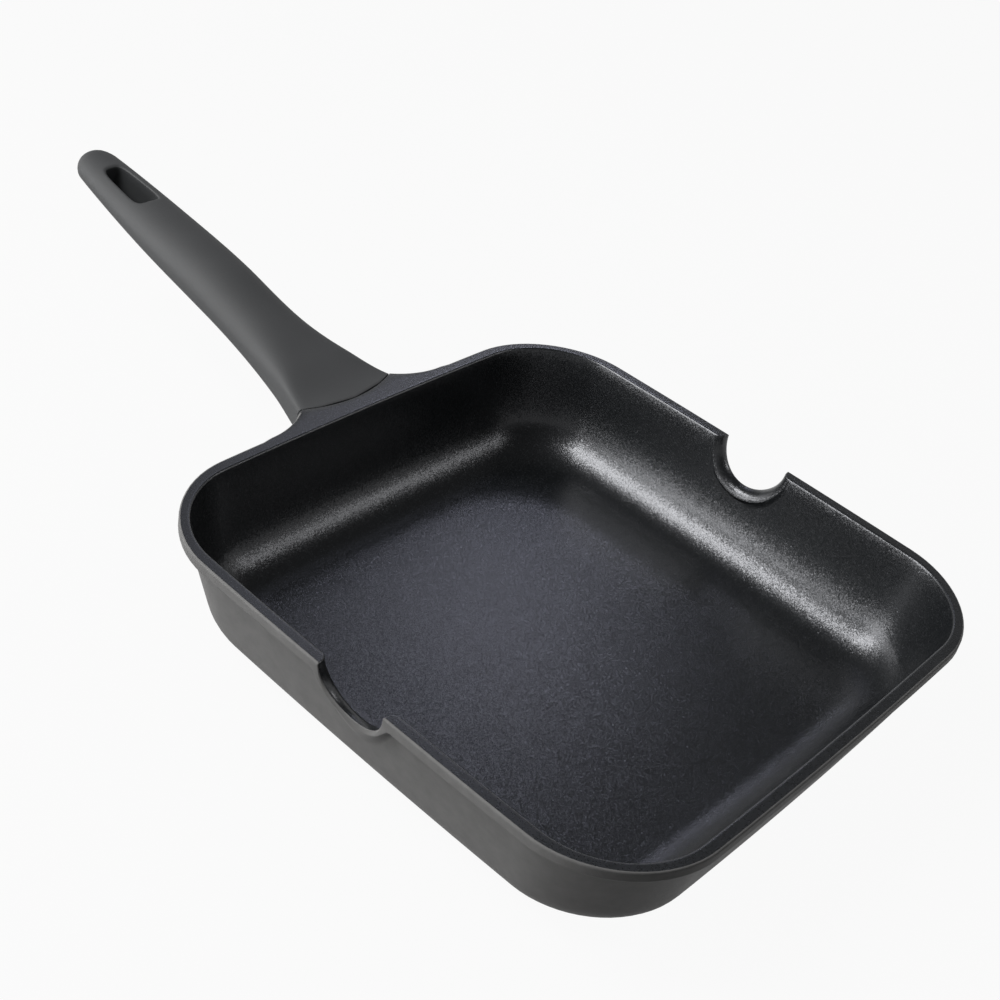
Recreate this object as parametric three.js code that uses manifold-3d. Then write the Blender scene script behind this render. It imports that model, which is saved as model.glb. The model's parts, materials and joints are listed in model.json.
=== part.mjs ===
// A square die-cast pan with a flanged rim, two pouring notches and a moulded handle that is
// screwed onto a tang of the casting from underneath. Millimetres, +Z up. The origin is the
// middle of the underside, and the handle points along -X.
import * as THREE from "three";
import { mergeVertices } from "three/addons/utils/BufferGeometryUtils.js";
import Module from "manifold-3d";

const wasm = await Module();
wasm.setup();

// Pan: outer size of the rim, and the slight outward bow of each side, which fades inwards
const RIM_LENGTH = 280;
const RIM_WIDTH = 270.4;
const PAN_HEIGHT = 58;
const SIDE_BOW = 2.4;
const BOW_POWER = 8;

// Corner radii in plan: outer and inner edge of the rim, edge of the flat base, edge of the floor
const RIM_CORNER = 49;
const MOUTH_CORNER = 40.5;
const BASE_CORNER = 33;
const FLOOR_CORNER = 21;

// Rim: flat top face, outer lip with its overhang, the cove below it and the broken edges
const RIM_FACE = 5.8;
const LIP_HEIGHT = 5.6;
const LIP_OVERHANG = 3.8;
const COVE_HEIGHT = 2.4;
const RIM_EDGE = 0.8;

// Walls and floor: drafts in degrees, and the large radii where the walls turn into the base
const OUTER_DRAFT = 13;
const INNER_DRAFT = 12;
const BASE_FILLET = 24;
const FLOOR_FILLET = 26;
const FLOOR_THICKNESS = 5;

// Pouring notches: half-round cuts in both side walls, rounded over on the inside, each with a
// border outside where the lip runs round the cut
const NOTCH_RADIUS = 18;
const NOTCH_ROUND = 4.5;
const NOTCH_BORDER = 3.4;

// Steel disc let into the underside: the flat casting left beside it, its thickness and its fit
const PLATE_BORDER = 10.6;
const PLATE_THICKNESS = 1.2;
const PLATE_GAP = 0.3;

// Boss: how far its middle stands out from the rim, and the radius that fairs it into the rim
const BOSS_DEPTH = 3.3;
const BOSS_FAIRING = 36;
const BOSS_CROWN = 0.6;
const BOSS_SQUARENESS = 14;

// Handle: overall length behind the boss, then width and thickness at neck, grip and tail
const HANDLE_LENGTH = 205;
const NECK_WIDTH = 59;
const NECK_THICKNESS = 20;
const NECK_FLARE = 88;
const FLARE_POWER = 2.6;
const NECK_SQUARENESS = 12;
const SQUARENESS_FADE = 3;
const GRIP_WIDTH = 35.3;
const GRIP_THICKNESS = 22.6;
const GRIP_SQUARENESS = 2.6;
const TAIL_WIDTH = 22.9;
const TAIL_THICKNESS = 12.2;
const TAIL_TAPER = 118;
const NARROWING_POWER = 2;
const THINNING_POWER = 1.5;
const TAIL_ROUND = 10;
const TAIL_SQUARENESS = 2.2;

// Handle climb: distance behind the boss and height gained at the neck and where the grip
// begins, then the steady slope in degrees from there to the tail
const NECK_RUN = 25;
const NECK_CLIMB = 4.6;
const GRIP_RUN = 80;
const GRIP_CLIMB = 17.2;
const GRIP_SLOPE = 10.2;

// Seam between boss and handle: an arc in plan, bulging towards the pan
const SEAM_RADIUS = 68;
const SEAM_GAP = 0.4;

// Hanging slot: the bridge left behind it at the tail, and its taper towards the tail
const SLOT_BRIDGE = 20;
const SLOT_LENGTH = 32;
const SLOT_FRONT_WIDTH = 15;
const SLOT_TAIL_WIDTH = 10;
const SLOT_CORNER = 3;

// Tang: a tongue of the casting inside the handle, rising with the neck, above its middle
const TANG_LENGTH = 42;
const TANG_WIDTH = 22;
const TANG_THICKNESS = 8;
const TANG_LIFT = 2;
const TANG_GAP = 0.3;
const TANG_END_GAP = 0.8;

// Handle screw: how far it sits from the tang's end, and how far it stops below the tang's top.
// Its head overhangs the shank all round, with a cross drive that leaves a border and a floor.
const SCREW_SETBACK = 16;
const SCREW_DIAMETER = 5;
const SCREW_CLEARANCE = 0.3;
const SCREW_SHORT = 1;
const HEAD_OVERHANG = 2;
const HEAD_HEIGHT = 2.6;
const DRIVE_WIDTH = 1.2;
const DRIVE_BORDER = 1.8;
const DRIVE_FLOOR = 1.1;

// Washers round the screw, as rings of a given breadth, stacked under a shoulder in the handle
const SHOULDER = 2.6;
const FLAT_WASHER_BREADTH = 2.2;
const FLAT_WASHER_THICKNESS = 0.8;
const SPRING_WASHER_BREADTH = 1.5;
const SPRING_WASHER_THICKNESS = 1.2;
const SPRING_WASHER_SPLIT = 0.9;
const STACK_GAP = 0.2;
const COUNTERBORE_GAP = 0.8;

// Facets
const CORNER_STEPS = 11;
const SIDE_STEPS = 7;
const FILLET_STEPS = 6;
const COVE_STEPS = 3;
const NOTCH_STEPS = 18;
const ROUND_STEPS = 4;
const SECTION_STEPS = 36;
const HANDLE_STEPS = 22;
const TAIL_STEPS = 6;
const BOSS_STEPS = 8;
const SEAM_STEPS = 120;
const SCREW_STEPS = 24;
const PLATE_STEPS = 72;

// How far a cutting shape reaches past what it cuts
const CUT_MARGIN = 10;

// Finishes: sprayed casting, moulded handle and three steels
const SPRAYED = { color: 0x3a3b3d, roughness: 0.6, metalness: 0.2 };
const MOULDED = { color: 0x4a4a4c, roughness: 0.55, metalness: 0 };
const TURNED_STEEL = { color: 0xb9bbbd, roughness: 0.35, metalness: 1 };
const PLATED_STEEL = { color: 0xc2c4c6, roughness: 0.3, metalness: 1 };
const SPRING_STEEL = { color: 0x8f9193, roughness: 0.35, metalness: 1 };

// Places that follow from the sizes above
const radians = THREE.MathUtils.degToRad;
const RIM_HALF = RIM_LENGTH / 2;
const SIDE_HALF = RIM_WIDTH / 2;
const WALL_TOP = PAN_HEIGHT - LIP_HEIGHT - COVE_HEIGHT;
const SEAM_BULGE = SEAM_RADIUS - Math.sqrt(SEAM_RADIUS ** 2 - (NECK_WIDTH / 2) ** 2);
const BOSS_REACH = BOSS_DEPTH + SEAM_BULGE;
const SEAM_X = -(RIM_HALF + BOSS_REACH);
const NECK_MIDDLE = PAN_HEIGHT - NECK_THICKNESS / 2;
const HOLE_RADIUS = SCREW_DIAMETER / 2 + SCREW_CLEARANCE;
const FLAT_WASHER_RADIUS = HOLE_RADIUS + FLAT_WASHER_BREADTH;
const SPRING_WASHER_RADIUS = HOLE_RADIUS + SPRING_WASHER_BREADTH;

// A closed mesh as a solid that can be joined and cut
function solid(geometry) {
  const bare = geometry.clone();
  bare.deleteAttribute("normal");
  bare.deleteAttribute("uv");
  const merged = mergeVertices(bare, 1e-4);
  const vertProperties = new Float32Array(merged.attributes.position.array);
  const triVerts = new Uint32Array(merged.index.array);
  return new wasm.Manifold(new wasm.Mesh({ numProp: 3, vertProperties, triVerts }));
}

// A named mesh from a solid
function piece(name, body, finish) {
  const made = body.getMesh();
  const geometry = new THREE.BufferGeometry();
  geometry.setAttribute("position", new THREE.BufferAttribute(made.vertProperties, 3));
  geometry.setIndex(new THREE.BufferAttribute(made.triVerts, 1));
  const facets = geometry.toNonIndexed();
  facets.computeVertexNormals();
  const mesh = new THREE.Mesh(facets, new THREE.MeshStandardMaterial(finish));
  mesh.name = name;
  return mesh;
}

// Rings of points, each turning to the left about the way the rings go, joined into a closed skin
function loft(rings) {
  const around = rings[0].length;
  const last = rings.length - 1;
  const points = rings.flat();
  const middle = (ring) => ring.reduce((sum, p) => sum.add(p), new THREE.Vector3()).divideScalar(around);
  const start = points.push(middle(rings[0])) - 1;
  const end = points.push(middle(rings[last])) - 1;
  const faces = [];
  for (let j = 0; j < around; j++) {
    const next = (j + 1) % around;
    for (let i = 0; i < last; i++) {
      const here = i * around;
      const above = here + around;
      faces.push(here + j, here + next, above + next);
      faces.push(here + j, above + next, above + j);
    }
    faces.push(start, next, j);
    faces.push(end, last * around + j, last * around + next);
  }
  const geometry = new THREE.BufferGeometry().setFromPoints(points);
  geometry.setIndex(faces);
  return geometry;
}

// A plan outline as an upright prism between two heights
function prism(points, low, high) {
  const shape = new THREE.Shape(points);
  const geometry = new THREE.ExtrudeGeometry(shape, { depth: high - low, bevelEnabled: false });
  return geometry.translate(0, 0, low);
}

// An upright cylinder between two heights
function cylinder(radius, low, high, steps) {
  const geometry = new THREE.CylinderGeometry(radius, radius, high - low, steps);
  return geometry.rotateX(Math.PI / 2).translate(0, 0, (low + high) / 2);
}

// A block given by its middle and its size
function block(middle, size) {
  return new THREE.BoxGeometry(size.x, size.y, size.z).translate(middle.x, middle.y, middle.z);
}

// Even values from one number to another, both included
function spread(from, to, steps) {
  return Array.from({ length: steps + 1 }, (_, i) => from + ((to - from) * i) / steps);
}

// The pan's plan outline at an inset from the rim's outer edge: a rounded rectangle whose
// sides bow outwards in the middle
function outline(inset, r) {
  const a = RIM_HALF - SIDE_BOW - inset;
  const b = SIDE_HALF - SIDE_BOW - inset;
  const corners = [[a - r, b - r], [r - a, b - r], [r - a, r - b], [a - r, r - b]];
  const points = [];
  corners.forEach(([x, y], k) => {
    for (const turn of spread(k, k + 1, CORNER_STEPS)) {
      const angle = (turn * Math.PI) / 2;
      points.push(new THREE.Vector2(x + r * Math.cos(angle), y + r * Math.sin(angle)));
    }
    const [nextX, nextY] = corners[(k + 1) % 4];
    const angle = ((k + 1) * Math.PI) / 2;
    const from = points[points.length - 1];
    const to = new THREE.Vector2(nextX + r * Math.cos(angle), nextY + r * Math.sin(angle));
    for (let i = 1; i < SIDE_STEPS; i++) {
      points.push(from.clone().lerp(to, i / SIDE_STEPS));
    }
  });
  const bow = (along, across, half, otherHalf) => {
    const fade = (1 - (across / otherHalf) ** 2) * (Math.abs(along) / half) ** BOW_POWER;
    return Math.sign(along) * SIDE_BOW * fade;
  };
  return points.map((p) => new THREE.Vector2(p.x + bow(p.x, p.y, a, b), p.y + bow(p.y, p.x, b, a)));
}

// Inset of the middle of a fillet that is tangent to a drafted wall and to a level floor
function filletInset(wallInset, wallHeight, draft, middleHeight, radius) {
  return wallInset + ((wallHeight - middleHeight) * Math.sin(draft) + radius) / Math.cos(draft);
}

// Inset of the edge of the flat base
const BASE_INSET = filletInset(LIP_OVERHANG, WALL_TOP, radians(OUTER_DRAFT), BASE_FILLET, BASE_FILLET);
const PLATE_RADIUS = Math.min(RIM_HALF, SIDE_HALF) - BASE_INSET - PLATE_BORDER;

// Outlines from an outer to an inner inset, with the corner radius going from one to the other
function ringsBetween(profile, fromCorner, toCorner) {
  const insets = profile.map(([inset]) => inset);
  const low = Math.min(...insets);
  const high = Math.max(...insets);
  return profile.map(([inset, z]) => {
    const corner = THREE.MathUtils.mapLinear(inset, low, high, fromCorner, toCorner);
    return outline(inset, corner).map((p) => new THREE.Vector3(p.x, p.y, z));
  });
}

// The outside, from the edge of the base up the wall, over the cove and up the lip
function outerRings() {
  const profile = [];
  for (const angle of spread(Math.PI / 2, radians(OUTER_DRAFT), FILLET_STEPS)) {
    profile.push([BASE_INSET - BASE_FILLET * Math.cos(angle), BASE_FILLET * (1 - Math.sin(angle))]);
  }
  for (const angle of spread(0, Math.PI / 2, COVE_STEPS)) {
    profile.push([LIP_OVERHANG * Math.cos(angle), WALL_TOP + COVE_HEIGHT * Math.sin(angle)]);
  }
  profile.push([0, PAN_HEIGHT - RIM_EDGE]);
  return ringsBetween(profile, RIM_CORNER, BASE_CORNER);
}

// The flat top of the rim, between its broken edges
function rimRings() {
  const profile = [[RIM_EDGE, PAN_HEIGHT], [RIM_FACE - RIM_EDGE, PAN_HEIGHT]];
  return ringsBetween(profile, RIM_CORNER, MOUTH_CORNER);
}

// The inside, from the mouth down the wall to the edge of the floor
function innerRings() {
  const draft = radians(INNER_DRAFT);
  const profile = [[RIM_FACE + RIM_EDGE * Math.tan(draft), PAN_HEIGHT - RIM_EDGE]];
  const middleZ = FLOOR_THICKNESS + FLOOR_FILLET;
  const middle = filletInset(RIM_FACE, PAN_HEIGHT, draft, middleZ, FLOOR_FILLET);
  for (const angle of spread(draft, Math.PI / 2, FILLET_STEPS)) {
    profile.push([middle - FLOOR_FILLET * Math.cos(angle), middleZ - FLOOR_FILLET * Math.sin(angle)]);
  }
  return ringsBetween(profile, MOUTH_CORNER, FLOOR_CORNER);
}

// The pan's shell without boss, tang or cuts
function panShell() {
  return solid(loft([...outerRings(), ...rimRings(), ...innerRings()]));
}

// The space inside the pan and above its mouth, so that what is added ends at the inner wall
function panCavity() {
  const rings = innerRings().reverse();
  const mouth = rings[rings.length - 1];
  rings.push(mouth.map((p) => new THREE.Vector3(p.x, p.y, PAN_HEIGHT + CUT_MARGIN)));
  return solid(loft(rings));
}

// The borders of both notches: a half-round bar across the pan, cut off along a face that starts
// at the lip's outer edge and leans with the wall
function notchBorders() {
  const upright = cylinder(NOTCH_RADIUS + NOTCH_BORDER, -RIM_WIDTH, RIM_WIDTH, 2 * NOTCH_STEPS);
  const bar = upright.rotateX(Math.PI / 2).translate(0, 0, PAN_HEIGHT);
  const top = PAN_HEIGHT - RIM_EDGE;
  const ring = (inset, z) => outline(inset, RIM_CORNER).map((p) => new THREE.Vector3(p.x, p.y, z));
  const within = loft([ring(top * Math.tan(radians(OUTER_DRAFT)), 0), ring(0, top)]);
  return solid(bar).intersect(solid(within)).subtract(panCavity());
}

// What a notch takes away from the side wall at -Y: a half-round trough that widens towards
// the inside and leans with the inner wall
function notchCut() {
  const lean = Math.tan(radians(INNER_DRAFT));
  const trough = (inset, radius) => {
    const across = [new THREE.Vector2(radius, CUT_MARGIN)];
    for (const angle of spread(0, Math.PI, NOTCH_STEPS)) {
      across.push(new THREE.Vector2(radius * Math.cos(angle), -radius * Math.sin(angle)));
    }
    across.push(new THREE.Vector2(-radius, CUT_MARGIN));
    return across.map((p) => {
      const leaning = inset > 0 ? Math.max(-p.y, 0) * lean : 0;
      return new THREE.Vector3(p.x, inset + leaning - SIDE_HALF, PAN_HEIGHT + p.y);
    });
  };
  const rings = [trough(-CUT_MARGIN, NOTCH_RADIUS)];
  for (const angle of spread(0, Math.PI / 2, ROUND_STEPS)) {
    const inset = RIM_FACE - NOTCH_ROUND * (1 - Math.sin(angle));
    rings.push(trough(inset, NOTCH_RADIUS + NOTCH_ROUND * (1 - Math.cos(angle))));
  }
  rings.push(trough(RIM_FACE + 2 * CUT_MARGIN, NOTCH_RADIUS + NOTCH_ROUND));
  return loft(rings);
}

// Width of the boss at a place between seam and rim: an arc that ends along the rim
function bossHalfWidth(x) {
  const toRim = THREE.MathUtils.clamp(-RIM_HALF - x, 0, BOSS_REACH);
  const rise = (reach) => Math.sqrt(BOSS_FAIRING ** 2 - (BOSS_FAIRING - reach) ** 2);
  return NECK_WIDTH / 2 + rise(BOSS_REACH) - rise(toRim);
}

// One closed section of boss or handle, standing across X
function section(x, middleZ, halfWidth, halfThickness, topSquareness, bottomSquareness) {
  return Array.from({ length: SECTION_STEPS }, (_, j) => {
    const angle = (2 * Math.PI * j) / SECTION_STEPS;
    const c = Math.cos(angle);
    const s = Math.sin(angle);
    const power = 2 / (s > 0 ? topSquareness : bottomSquareness);
    const y = halfWidth * Math.sign(c) * Math.abs(c) ** power;
    const z = halfThickness * Math.sign(s) * Math.abs(s) ** power;
    return new THREE.Vector3(x, y, middleZ + z);
  });
}

// A solid cylinder whose near side is the seam's arc
function seamCylinder(radius) {
  const low = PAN_HEIGHT - NECK_THICKNESS - CUT_MARGIN;
  const high = PAN_HEIGHT + CUT_MARGIN;
  return cylinder(radius, low, high, SEAM_STEPS).translate(SEAM_X + SEAM_BULGE - SEAM_RADIUS, 0, 0);
}

// The boss, flush with the rim face and rooted below it in the wall, hollowed by the seam's arc
function boss() {
  const wall = -(RIM_HALF - RIM_FACE + RIM_EDGE);
  const half = NECK_THICKNESS / 2 + BOSS_CROWN;
  const rings = spread(SEAM_X, wall, BOSS_STEPS).map((x) =>
    section(x, NECK_MIDDLE, bossHalfWidth(x), half, BOSS_SQUARENESS, GRIP_SQUARENESS),
  );
  const rootHalf = bossHalfWidth(wall);
  const rootZ = NECK_MIDDLE - RIM_FACE;
  rings.push(section(wall + RIM_FACE, rootZ, rootHalf, half, BOSS_SQUARENESS, GRIP_SQUARENESS));
  const top = new THREE.Vector3(SEAM_X, 0, PAN_HEIGHT + CUT_MARGIN / 2);
  const above = block(top, new THREE.Vector3(RIM_HALF, RIM_WIDTH, CUT_MARGIN));
  const seam = seamCylinder(SEAM_RADIUS + SEAM_GAP / 2);
  return solid(loft(rings)).subtract(solid(above)).subtract(solid(seam));
}

// Height of the tang's middle at a distance behind the boss's corners
function tangHeight(station) {
  return NECK_MIDDLE + TANG_LIFT + (NECK_CLIMB / NECK_RUN) * station;
}

// The tang's side outline, grown by a clearance, between two distances behind the boss's corners
function tangBlock(from, to, clearance) {
  const half = TANG_THICKNESS / 2 + clearance;
  const side = new THREE.Shape();
  side.moveTo(SEAM_X - from, tangHeight(from) - half);
  side.lineTo(SEAM_X - from, tangHeight(from) + half);
  side.lineTo(SEAM_X - to, tangHeight(to) + half);
  side.lineTo(SEAM_X - to, tangHeight(to) - half);
  const width = TANG_WIDTH + 2 * clearance;
  const geometry = new THREE.ExtrudeGeometry(side, { depth: width, bevelEnabled: false });
  return geometry.rotateX(Math.PI / 2).translate(0, width / 2, 0);
}

// Heights of the screw stack, downwards from the tang's underside at the screw
const SCREW_STATION = TANG_LENGTH - SCREW_SETBACK;
const SCREW_X = SEAM_X - SCREW_STATION;
const TANG_UNDERSIDE = tangHeight(SCREW_STATION) - TANG_THICKNESS / 2;
const SEAT = TANG_UNDERSIDE - TANG_GAP - SHOULDER;
const FLAT_WASHER_TOP = SEAT - STACK_GAP;
const SPRING_WASHER_TOP = FLAT_WASHER_TOP - FLAT_WASHER_THICKNESS - STACK_GAP;
const HEAD_TOP = SPRING_WASHER_TOP - SPRING_WASHER_THICKNESS - STACK_GAP;

// The whole casting, with the tang rooted in the rim, the screw's hole and the disc's recess
function panBody() {
  const hole = cylinder(HOLE_RADIUS, SEAT, PAN_HEIGHT + CUT_MARGIN, SCREW_STEPS);
  hole.translate(SCREW_X, 0, 0);
  const recessDepth = PLATE_THICKNESS + PLATE_GAP;
  const recess = cylinder(PLATE_RADIUS + PLATE_GAP, -CUT_MARGIN, recessDepth, PLATE_STEPS);
  const tang = solid(tangBlock(-(BOSS_REACH + RIM_FACE / 2), TANG_LENGTH, 0));
  const cavity = panCavity();
  let body = panShell().add(notchBorders());
  body = body.add(boss().subtract(cavity)).add(tang.subtract(cavity));
  body = body.subtract(solid(notchCut())).subtract(solid(notchCut().rotateZ(Math.PI)));
  return body.subtract(solid(hole)).subtract(solid(recess));
}

// The handle's middle line, from inside the seam to the tail
const slopeFrom = (run) => [run, GRIP_CLIMB + (run - GRIP_RUN) * Math.tan(radians(GRIP_SLOPE))];
const middleLine = new THREE.CatmullRomCurve3(
  [
    [-BOSS_REACH, 0],
    [0, 0],
    [NECK_RUN, NECK_CLIMB],
    [GRIP_RUN, GRIP_CLIMB],
    slopeFrom((GRIP_RUN + HANDLE_LENGTH) / 2),
    slopeFrom(HANDLE_LENGTH),
  ].map(([run, climb]) => new THREE.Vector3(run, 0, NECK_MIDDLE + climb)),
);

const middlePoints = middleLine.getPoints(HANDLE_STEPS * TAIL_STEPS);

// Height of the middle line at a distance behind the boss
function middleHeight(station) {
  const passed = middlePoints.filter((p) => p.x < station).length;
  const after = THREE.MathUtils.clamp(passed, 1, middlePoints.length - 1);
  const a = middlePoints[after - 1];
  const b = middlePoints[after];
  return THREE.MathUtils.mapLinear(station, a.x, b.x, a.z, b.z);
}

// How much of the full section is left near the rounded tail
function tailShare(station, round) {
  const into = Math.max(station - (HANDLE_LENGTH - round), 0) / round;
  return Math.max(1 - into ** TAIL_SQUARENESS, 0) ** (1 / TAIL_SQUARENESS);
}

// The handle's section at a distance behind the boss: wide at the neck, even along the grip,
// then narrower and thinner towards the tail
function handleSection(station) {
  const behind = Math.max(station, 0);
  const flare = Math.max(1 - behind / NECK_FLARE, 0) ** FLARE_POWER;
  const taper = Math.max(station - (HANDLE_LENGTH - TAIL_TAPER), 0) / TAIL_TAPER;
  const neckHalf = bossHalfWidth(SEAM_X - station);
  const gripHalf = THREE.MathUtils.lerp(GRIP_WIDTH, TAIL_WIDTH, taper ** NARROWING_POWER) / 2;
  const swell = THREE.MathUtils.lerp(NECK_THICKNESS, GRIP_THICKNESS, Math.min(behind / GRIP_RUN, 1));
  const thickness = swell + (TAIL_THICKNESS - GRIP_THICKNESS) * taper ** THINNING_POWER;
  const square = GRIP_SQUARENESS + (NECK_SQUARENESS - GRIP_SQUARENESS) * flare ** SQUARENESS_FADE;
  const width = (gripHalf + (neckHalf - GRIP_WIDTH / 2) * flare) * tailShare(station, TAIL_ROUND);
  const height = (thickness / 2) * tailShare(station, TAIL_ROUND / 2);
  return section(SEAM_X - station, middleHeight(station), width, height, square, GRIP_SQUARENESS);
}

// The hanging slot as an upright prism: a rounded trapezium, narrower towards the tail
function slotCut() {
  const tail = SEAM_X - HANDLE_LENGTH + SLOT_BRIDGE;
  const front = tail + SLOT_LENGTH;
  const corners = [
    [front, SLOT_FRONT_WIDTH / 2],
    [tail, SLOT_TAIL_WIDTH / 2],
    [tail, -SLOT_TAIL_WIDTH / 2],
    [front, -SLOT_FRONT_WIDTH / 2],
  ].map(([x, y]) => new THREE.Vector2(x, y));
  const shape = new THREE.Shape();
  corners.forEach((corner, k) => {
    const before = corners[(k + 3) % 4].clone().sub(corner).setLength(SLOT_CORNER).add(corner);
    const after = corners[(k + 1) % 4].clone().sub(corner).setLength(SLOT_CORNER).add(corner);
    if (k === 0) {
      shape.moveTo(before.x, before.y);
    } else {
      shape.lineTo(before.x, before.y);
    }
    shape.quadraticCurveTo(corner.x, corner.y, after.x, after.y);
  });
  const top = middleHeight(HANDLE_LENGTH) + GRIP_THICKNESS;
  return prism(shape.getPoints(ROUND_STEPS), NECK_MIDDLE, top);
}

// The whole handle, ending at the seam, with the tang's socket, the slot and the screw's way in
function handleBody() {
  const front = -BOSS_REACH * (1 - 1 / BOSS_STEPS);
  const tailStart = HANDLE_LENGTH - TAIL_ROUND;
  const stations = spread(front, tailStart, HANDLE_STEPS);
  for (const turn of spread(0, Math.PI / 2, TAIL_STEPS + 1).slice(1, -1)) {
    stations.push(tailStart + TAIL_ROUND * Math.sin(turn));
  }
  let body = solid(loft(stations.reverse().map(handleSection)));
  const middle = new THREE.Vector3(SEAM_X, 0, NECK_MIDDLE);
  const ahead = block(middle, new THREE.Vector3(SEAM_RADIUS, RIM_WIDTH, 2 * NECK_THICKNESS));
  const beyondSeam = solid(ahead).subtract(solid(seamCylinder(SEAM_RADIUS - SEAM_GAP / 2)));
  const socket = solid(tangBlock(-2 * BOSS_REACH, TANG_LENGTH + TANG_END_GAP, TANG_GAP));
  const shank = cylinder(HOLE_RADIUS, 0, TANG_UNDERSIDE + TANG_THICKNESS / 2, SCREW_STEPS);
  const counterbore = cylinder(FLAT_WASHER_RADIUS + COUNTERBORE_GAP, 0, SEAT, SCREW_STEPS);
  const wayIn = solid(shank).add(solid(counterbore)).translate([SCREW_X, 0, 0]);
  body = body.subtract(beyondSeam).subtract(socket);
  return body.subtract(solid(slotCut())).subtract(wayIn);
}

// A pan-head screw with a cross drive, pointing up into the tang
function screwBody() {
  const top = TANG_UNDERSIDE + TANG_THICKNESS - SCREW_SHORT;
  const shank = cylinder(SCREW_DIAMETER / 2, HEAD_TOP - DRIVE_FLOOR, top, SCREW_STEPS);
  const radius = SCREW_DIAMETER / 2 + HEAD_OVERHANG;
  const bottom = HEAD_TOP - HEAD_HEIGHT;
  const dome = [new THREE.Vector2(0, bottom)];
  for (const angle of spread(0, Math.PI / 2, ROUND_STEPS).slice(1)) {
    const fall = (HEAD_HEIGHT * (1 + Math.cos(angle))) / 2;
    dome.push(new THREE.Vector2(radius * Math.sin(angle), HEAD_TOP - fall));
  }
  dome.push(new THREE.Vector2(radius, HEAD_TOP), new THREE.Vector2(0, HEAD_TOP));
  const head = new THREE.LatheGeometry(dome, SCREW_STEPS).rotateX(Math.PI / 2);
  const middle = new THREE.Vector3(0, 0, bottom);
  const depth = HEAD_HEIGHT - DRIVE_FLOOR;
  const arm = new THREE.Vector3(2 * (radius - DRIVE_BORDER), DRIVE_WIDTH, 2 * depth);
  const drive = solid(block(middle, arm)).add(solid(block(middle, arm).rotateZ(Math.PI / 2)));
  return solid(shank).add(solid(head)).subtract(drive).translate([SCREW_X, 0, 0]);
}

// A flat ring round the screw, below a given height
function washer(radius, thickness, top) {
  const outer = cylinder(radius, top - thickness, top, SCREW_STEPS);
  const inner = cylinder(HOLE_RADIUS, top - 2 * thickness, top + thickness, SCREW_STEPS);
  return solid(outer).subtract(solid(inner)).translate([SCREW_X, 0, 0]);
}

// The spring washer, split on the side away from the pan
function springWasher() {
  const ring = washer(SPRING_WASHER_RADIUS, SPRING_WASHER_THICKNESS, SPRING_WASHER_TOP);
  const middle = new THREE.Vector3(SCREW_X - SPRING_WASHER_RADIUS, 0, SPRING_WASHER_TOP);
  const length = 2 * (SPRING_WASHER_RADIUS - HOLE_RADIUS / 2);
  const size = new THREE.Vector3(length, SPRING_WASHER_SPLIT, 4 * SPRING_WASHER_THICKNESS);
  return ring.subtract(solid(block(middle, size)));
}

const plate = solid(cylinder(PLATE_RADIUS, 0, PLATE_THICKNESS, PLATE_STEPS));
const flatWasher = washer(FLAT_WASHER_RADIUS, FLAT_WASHER_THICKNESS, FLAT_WASHER_TOP);
const pan = new THREE.Group();
pan.name = "griddle_pan";
pan.add(piece("pan_body", panBody(), SPRAYED));
pan.add(piece("induction_plate", plate, TURNED_STEEL));
pan.add(piece("handle", handleBody(), MOULDED));
pan.add(piece("handle_screw", screwBody(), PLATED_STEEL));
pan.add(piece("flat_washer", flatWasher, PLATED_STEEL));
pan.add(piece("spring_washer", springWasher(), SPRING_STEEL));

export default pan;
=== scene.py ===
"""Looks of a square cast pan: coated casting, moulded handle, steel base disc and handle screw.

Lengths in the classes are millimetres and the meshes are metres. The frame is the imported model's:
+Z up, the handle along -X, and the origin in the middle of the underside.
"""

import json
import logging
import math
from dataclasses import dataclass
from enum import Enum, IntEnum

import bpy
import numpy as np
from mathutils import Matrix, Vector


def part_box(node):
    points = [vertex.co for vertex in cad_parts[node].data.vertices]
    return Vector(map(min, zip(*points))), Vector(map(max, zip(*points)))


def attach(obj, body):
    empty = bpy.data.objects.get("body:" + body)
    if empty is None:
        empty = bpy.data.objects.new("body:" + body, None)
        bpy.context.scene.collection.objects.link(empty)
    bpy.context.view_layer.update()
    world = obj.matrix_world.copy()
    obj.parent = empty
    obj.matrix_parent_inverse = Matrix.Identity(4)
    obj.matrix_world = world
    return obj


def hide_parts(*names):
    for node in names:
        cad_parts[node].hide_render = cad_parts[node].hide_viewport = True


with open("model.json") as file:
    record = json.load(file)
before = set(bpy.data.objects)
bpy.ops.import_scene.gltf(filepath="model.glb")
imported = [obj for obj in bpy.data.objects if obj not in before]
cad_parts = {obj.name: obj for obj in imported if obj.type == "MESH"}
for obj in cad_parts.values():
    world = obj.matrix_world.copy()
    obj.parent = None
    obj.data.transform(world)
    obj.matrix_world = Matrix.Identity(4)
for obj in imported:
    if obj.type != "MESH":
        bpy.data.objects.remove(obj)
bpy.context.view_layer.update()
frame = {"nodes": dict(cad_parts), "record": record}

MM = 0.001
QUARTER = math.pi / 2.0
PLATE_CLEARANCE = 0.3
TOUCH = 1e-6
SHARP_EDGE = math.radians(38.0)
NOISE_RANGE = (0.3, 0.7)
WHITE = (1.0, 1.0, 1.0, 1.0)
COOL_WHITE = (0.95, 0.96, 1.0, 1.0)
Array = np.ndarray
Socket = bpy.types.NodeSocket
Colour = tuple[float, float, float, float]
Triple = tuple[float, float, float]
log = logging.getLogger("pan")


def node_box(node: str) -> tuple[Array, Array]:
    """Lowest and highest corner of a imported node, in millimetres."""
    low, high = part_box(node)
    return np.array(low) / MM, np.array(high) / MM


def mount_height(name: str) -> float:
    """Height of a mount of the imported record, in millimetres."""
    return next(m["pos_m"][2] for m in frame["record"]["mounts"] if m["name"] == name) / MM


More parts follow.
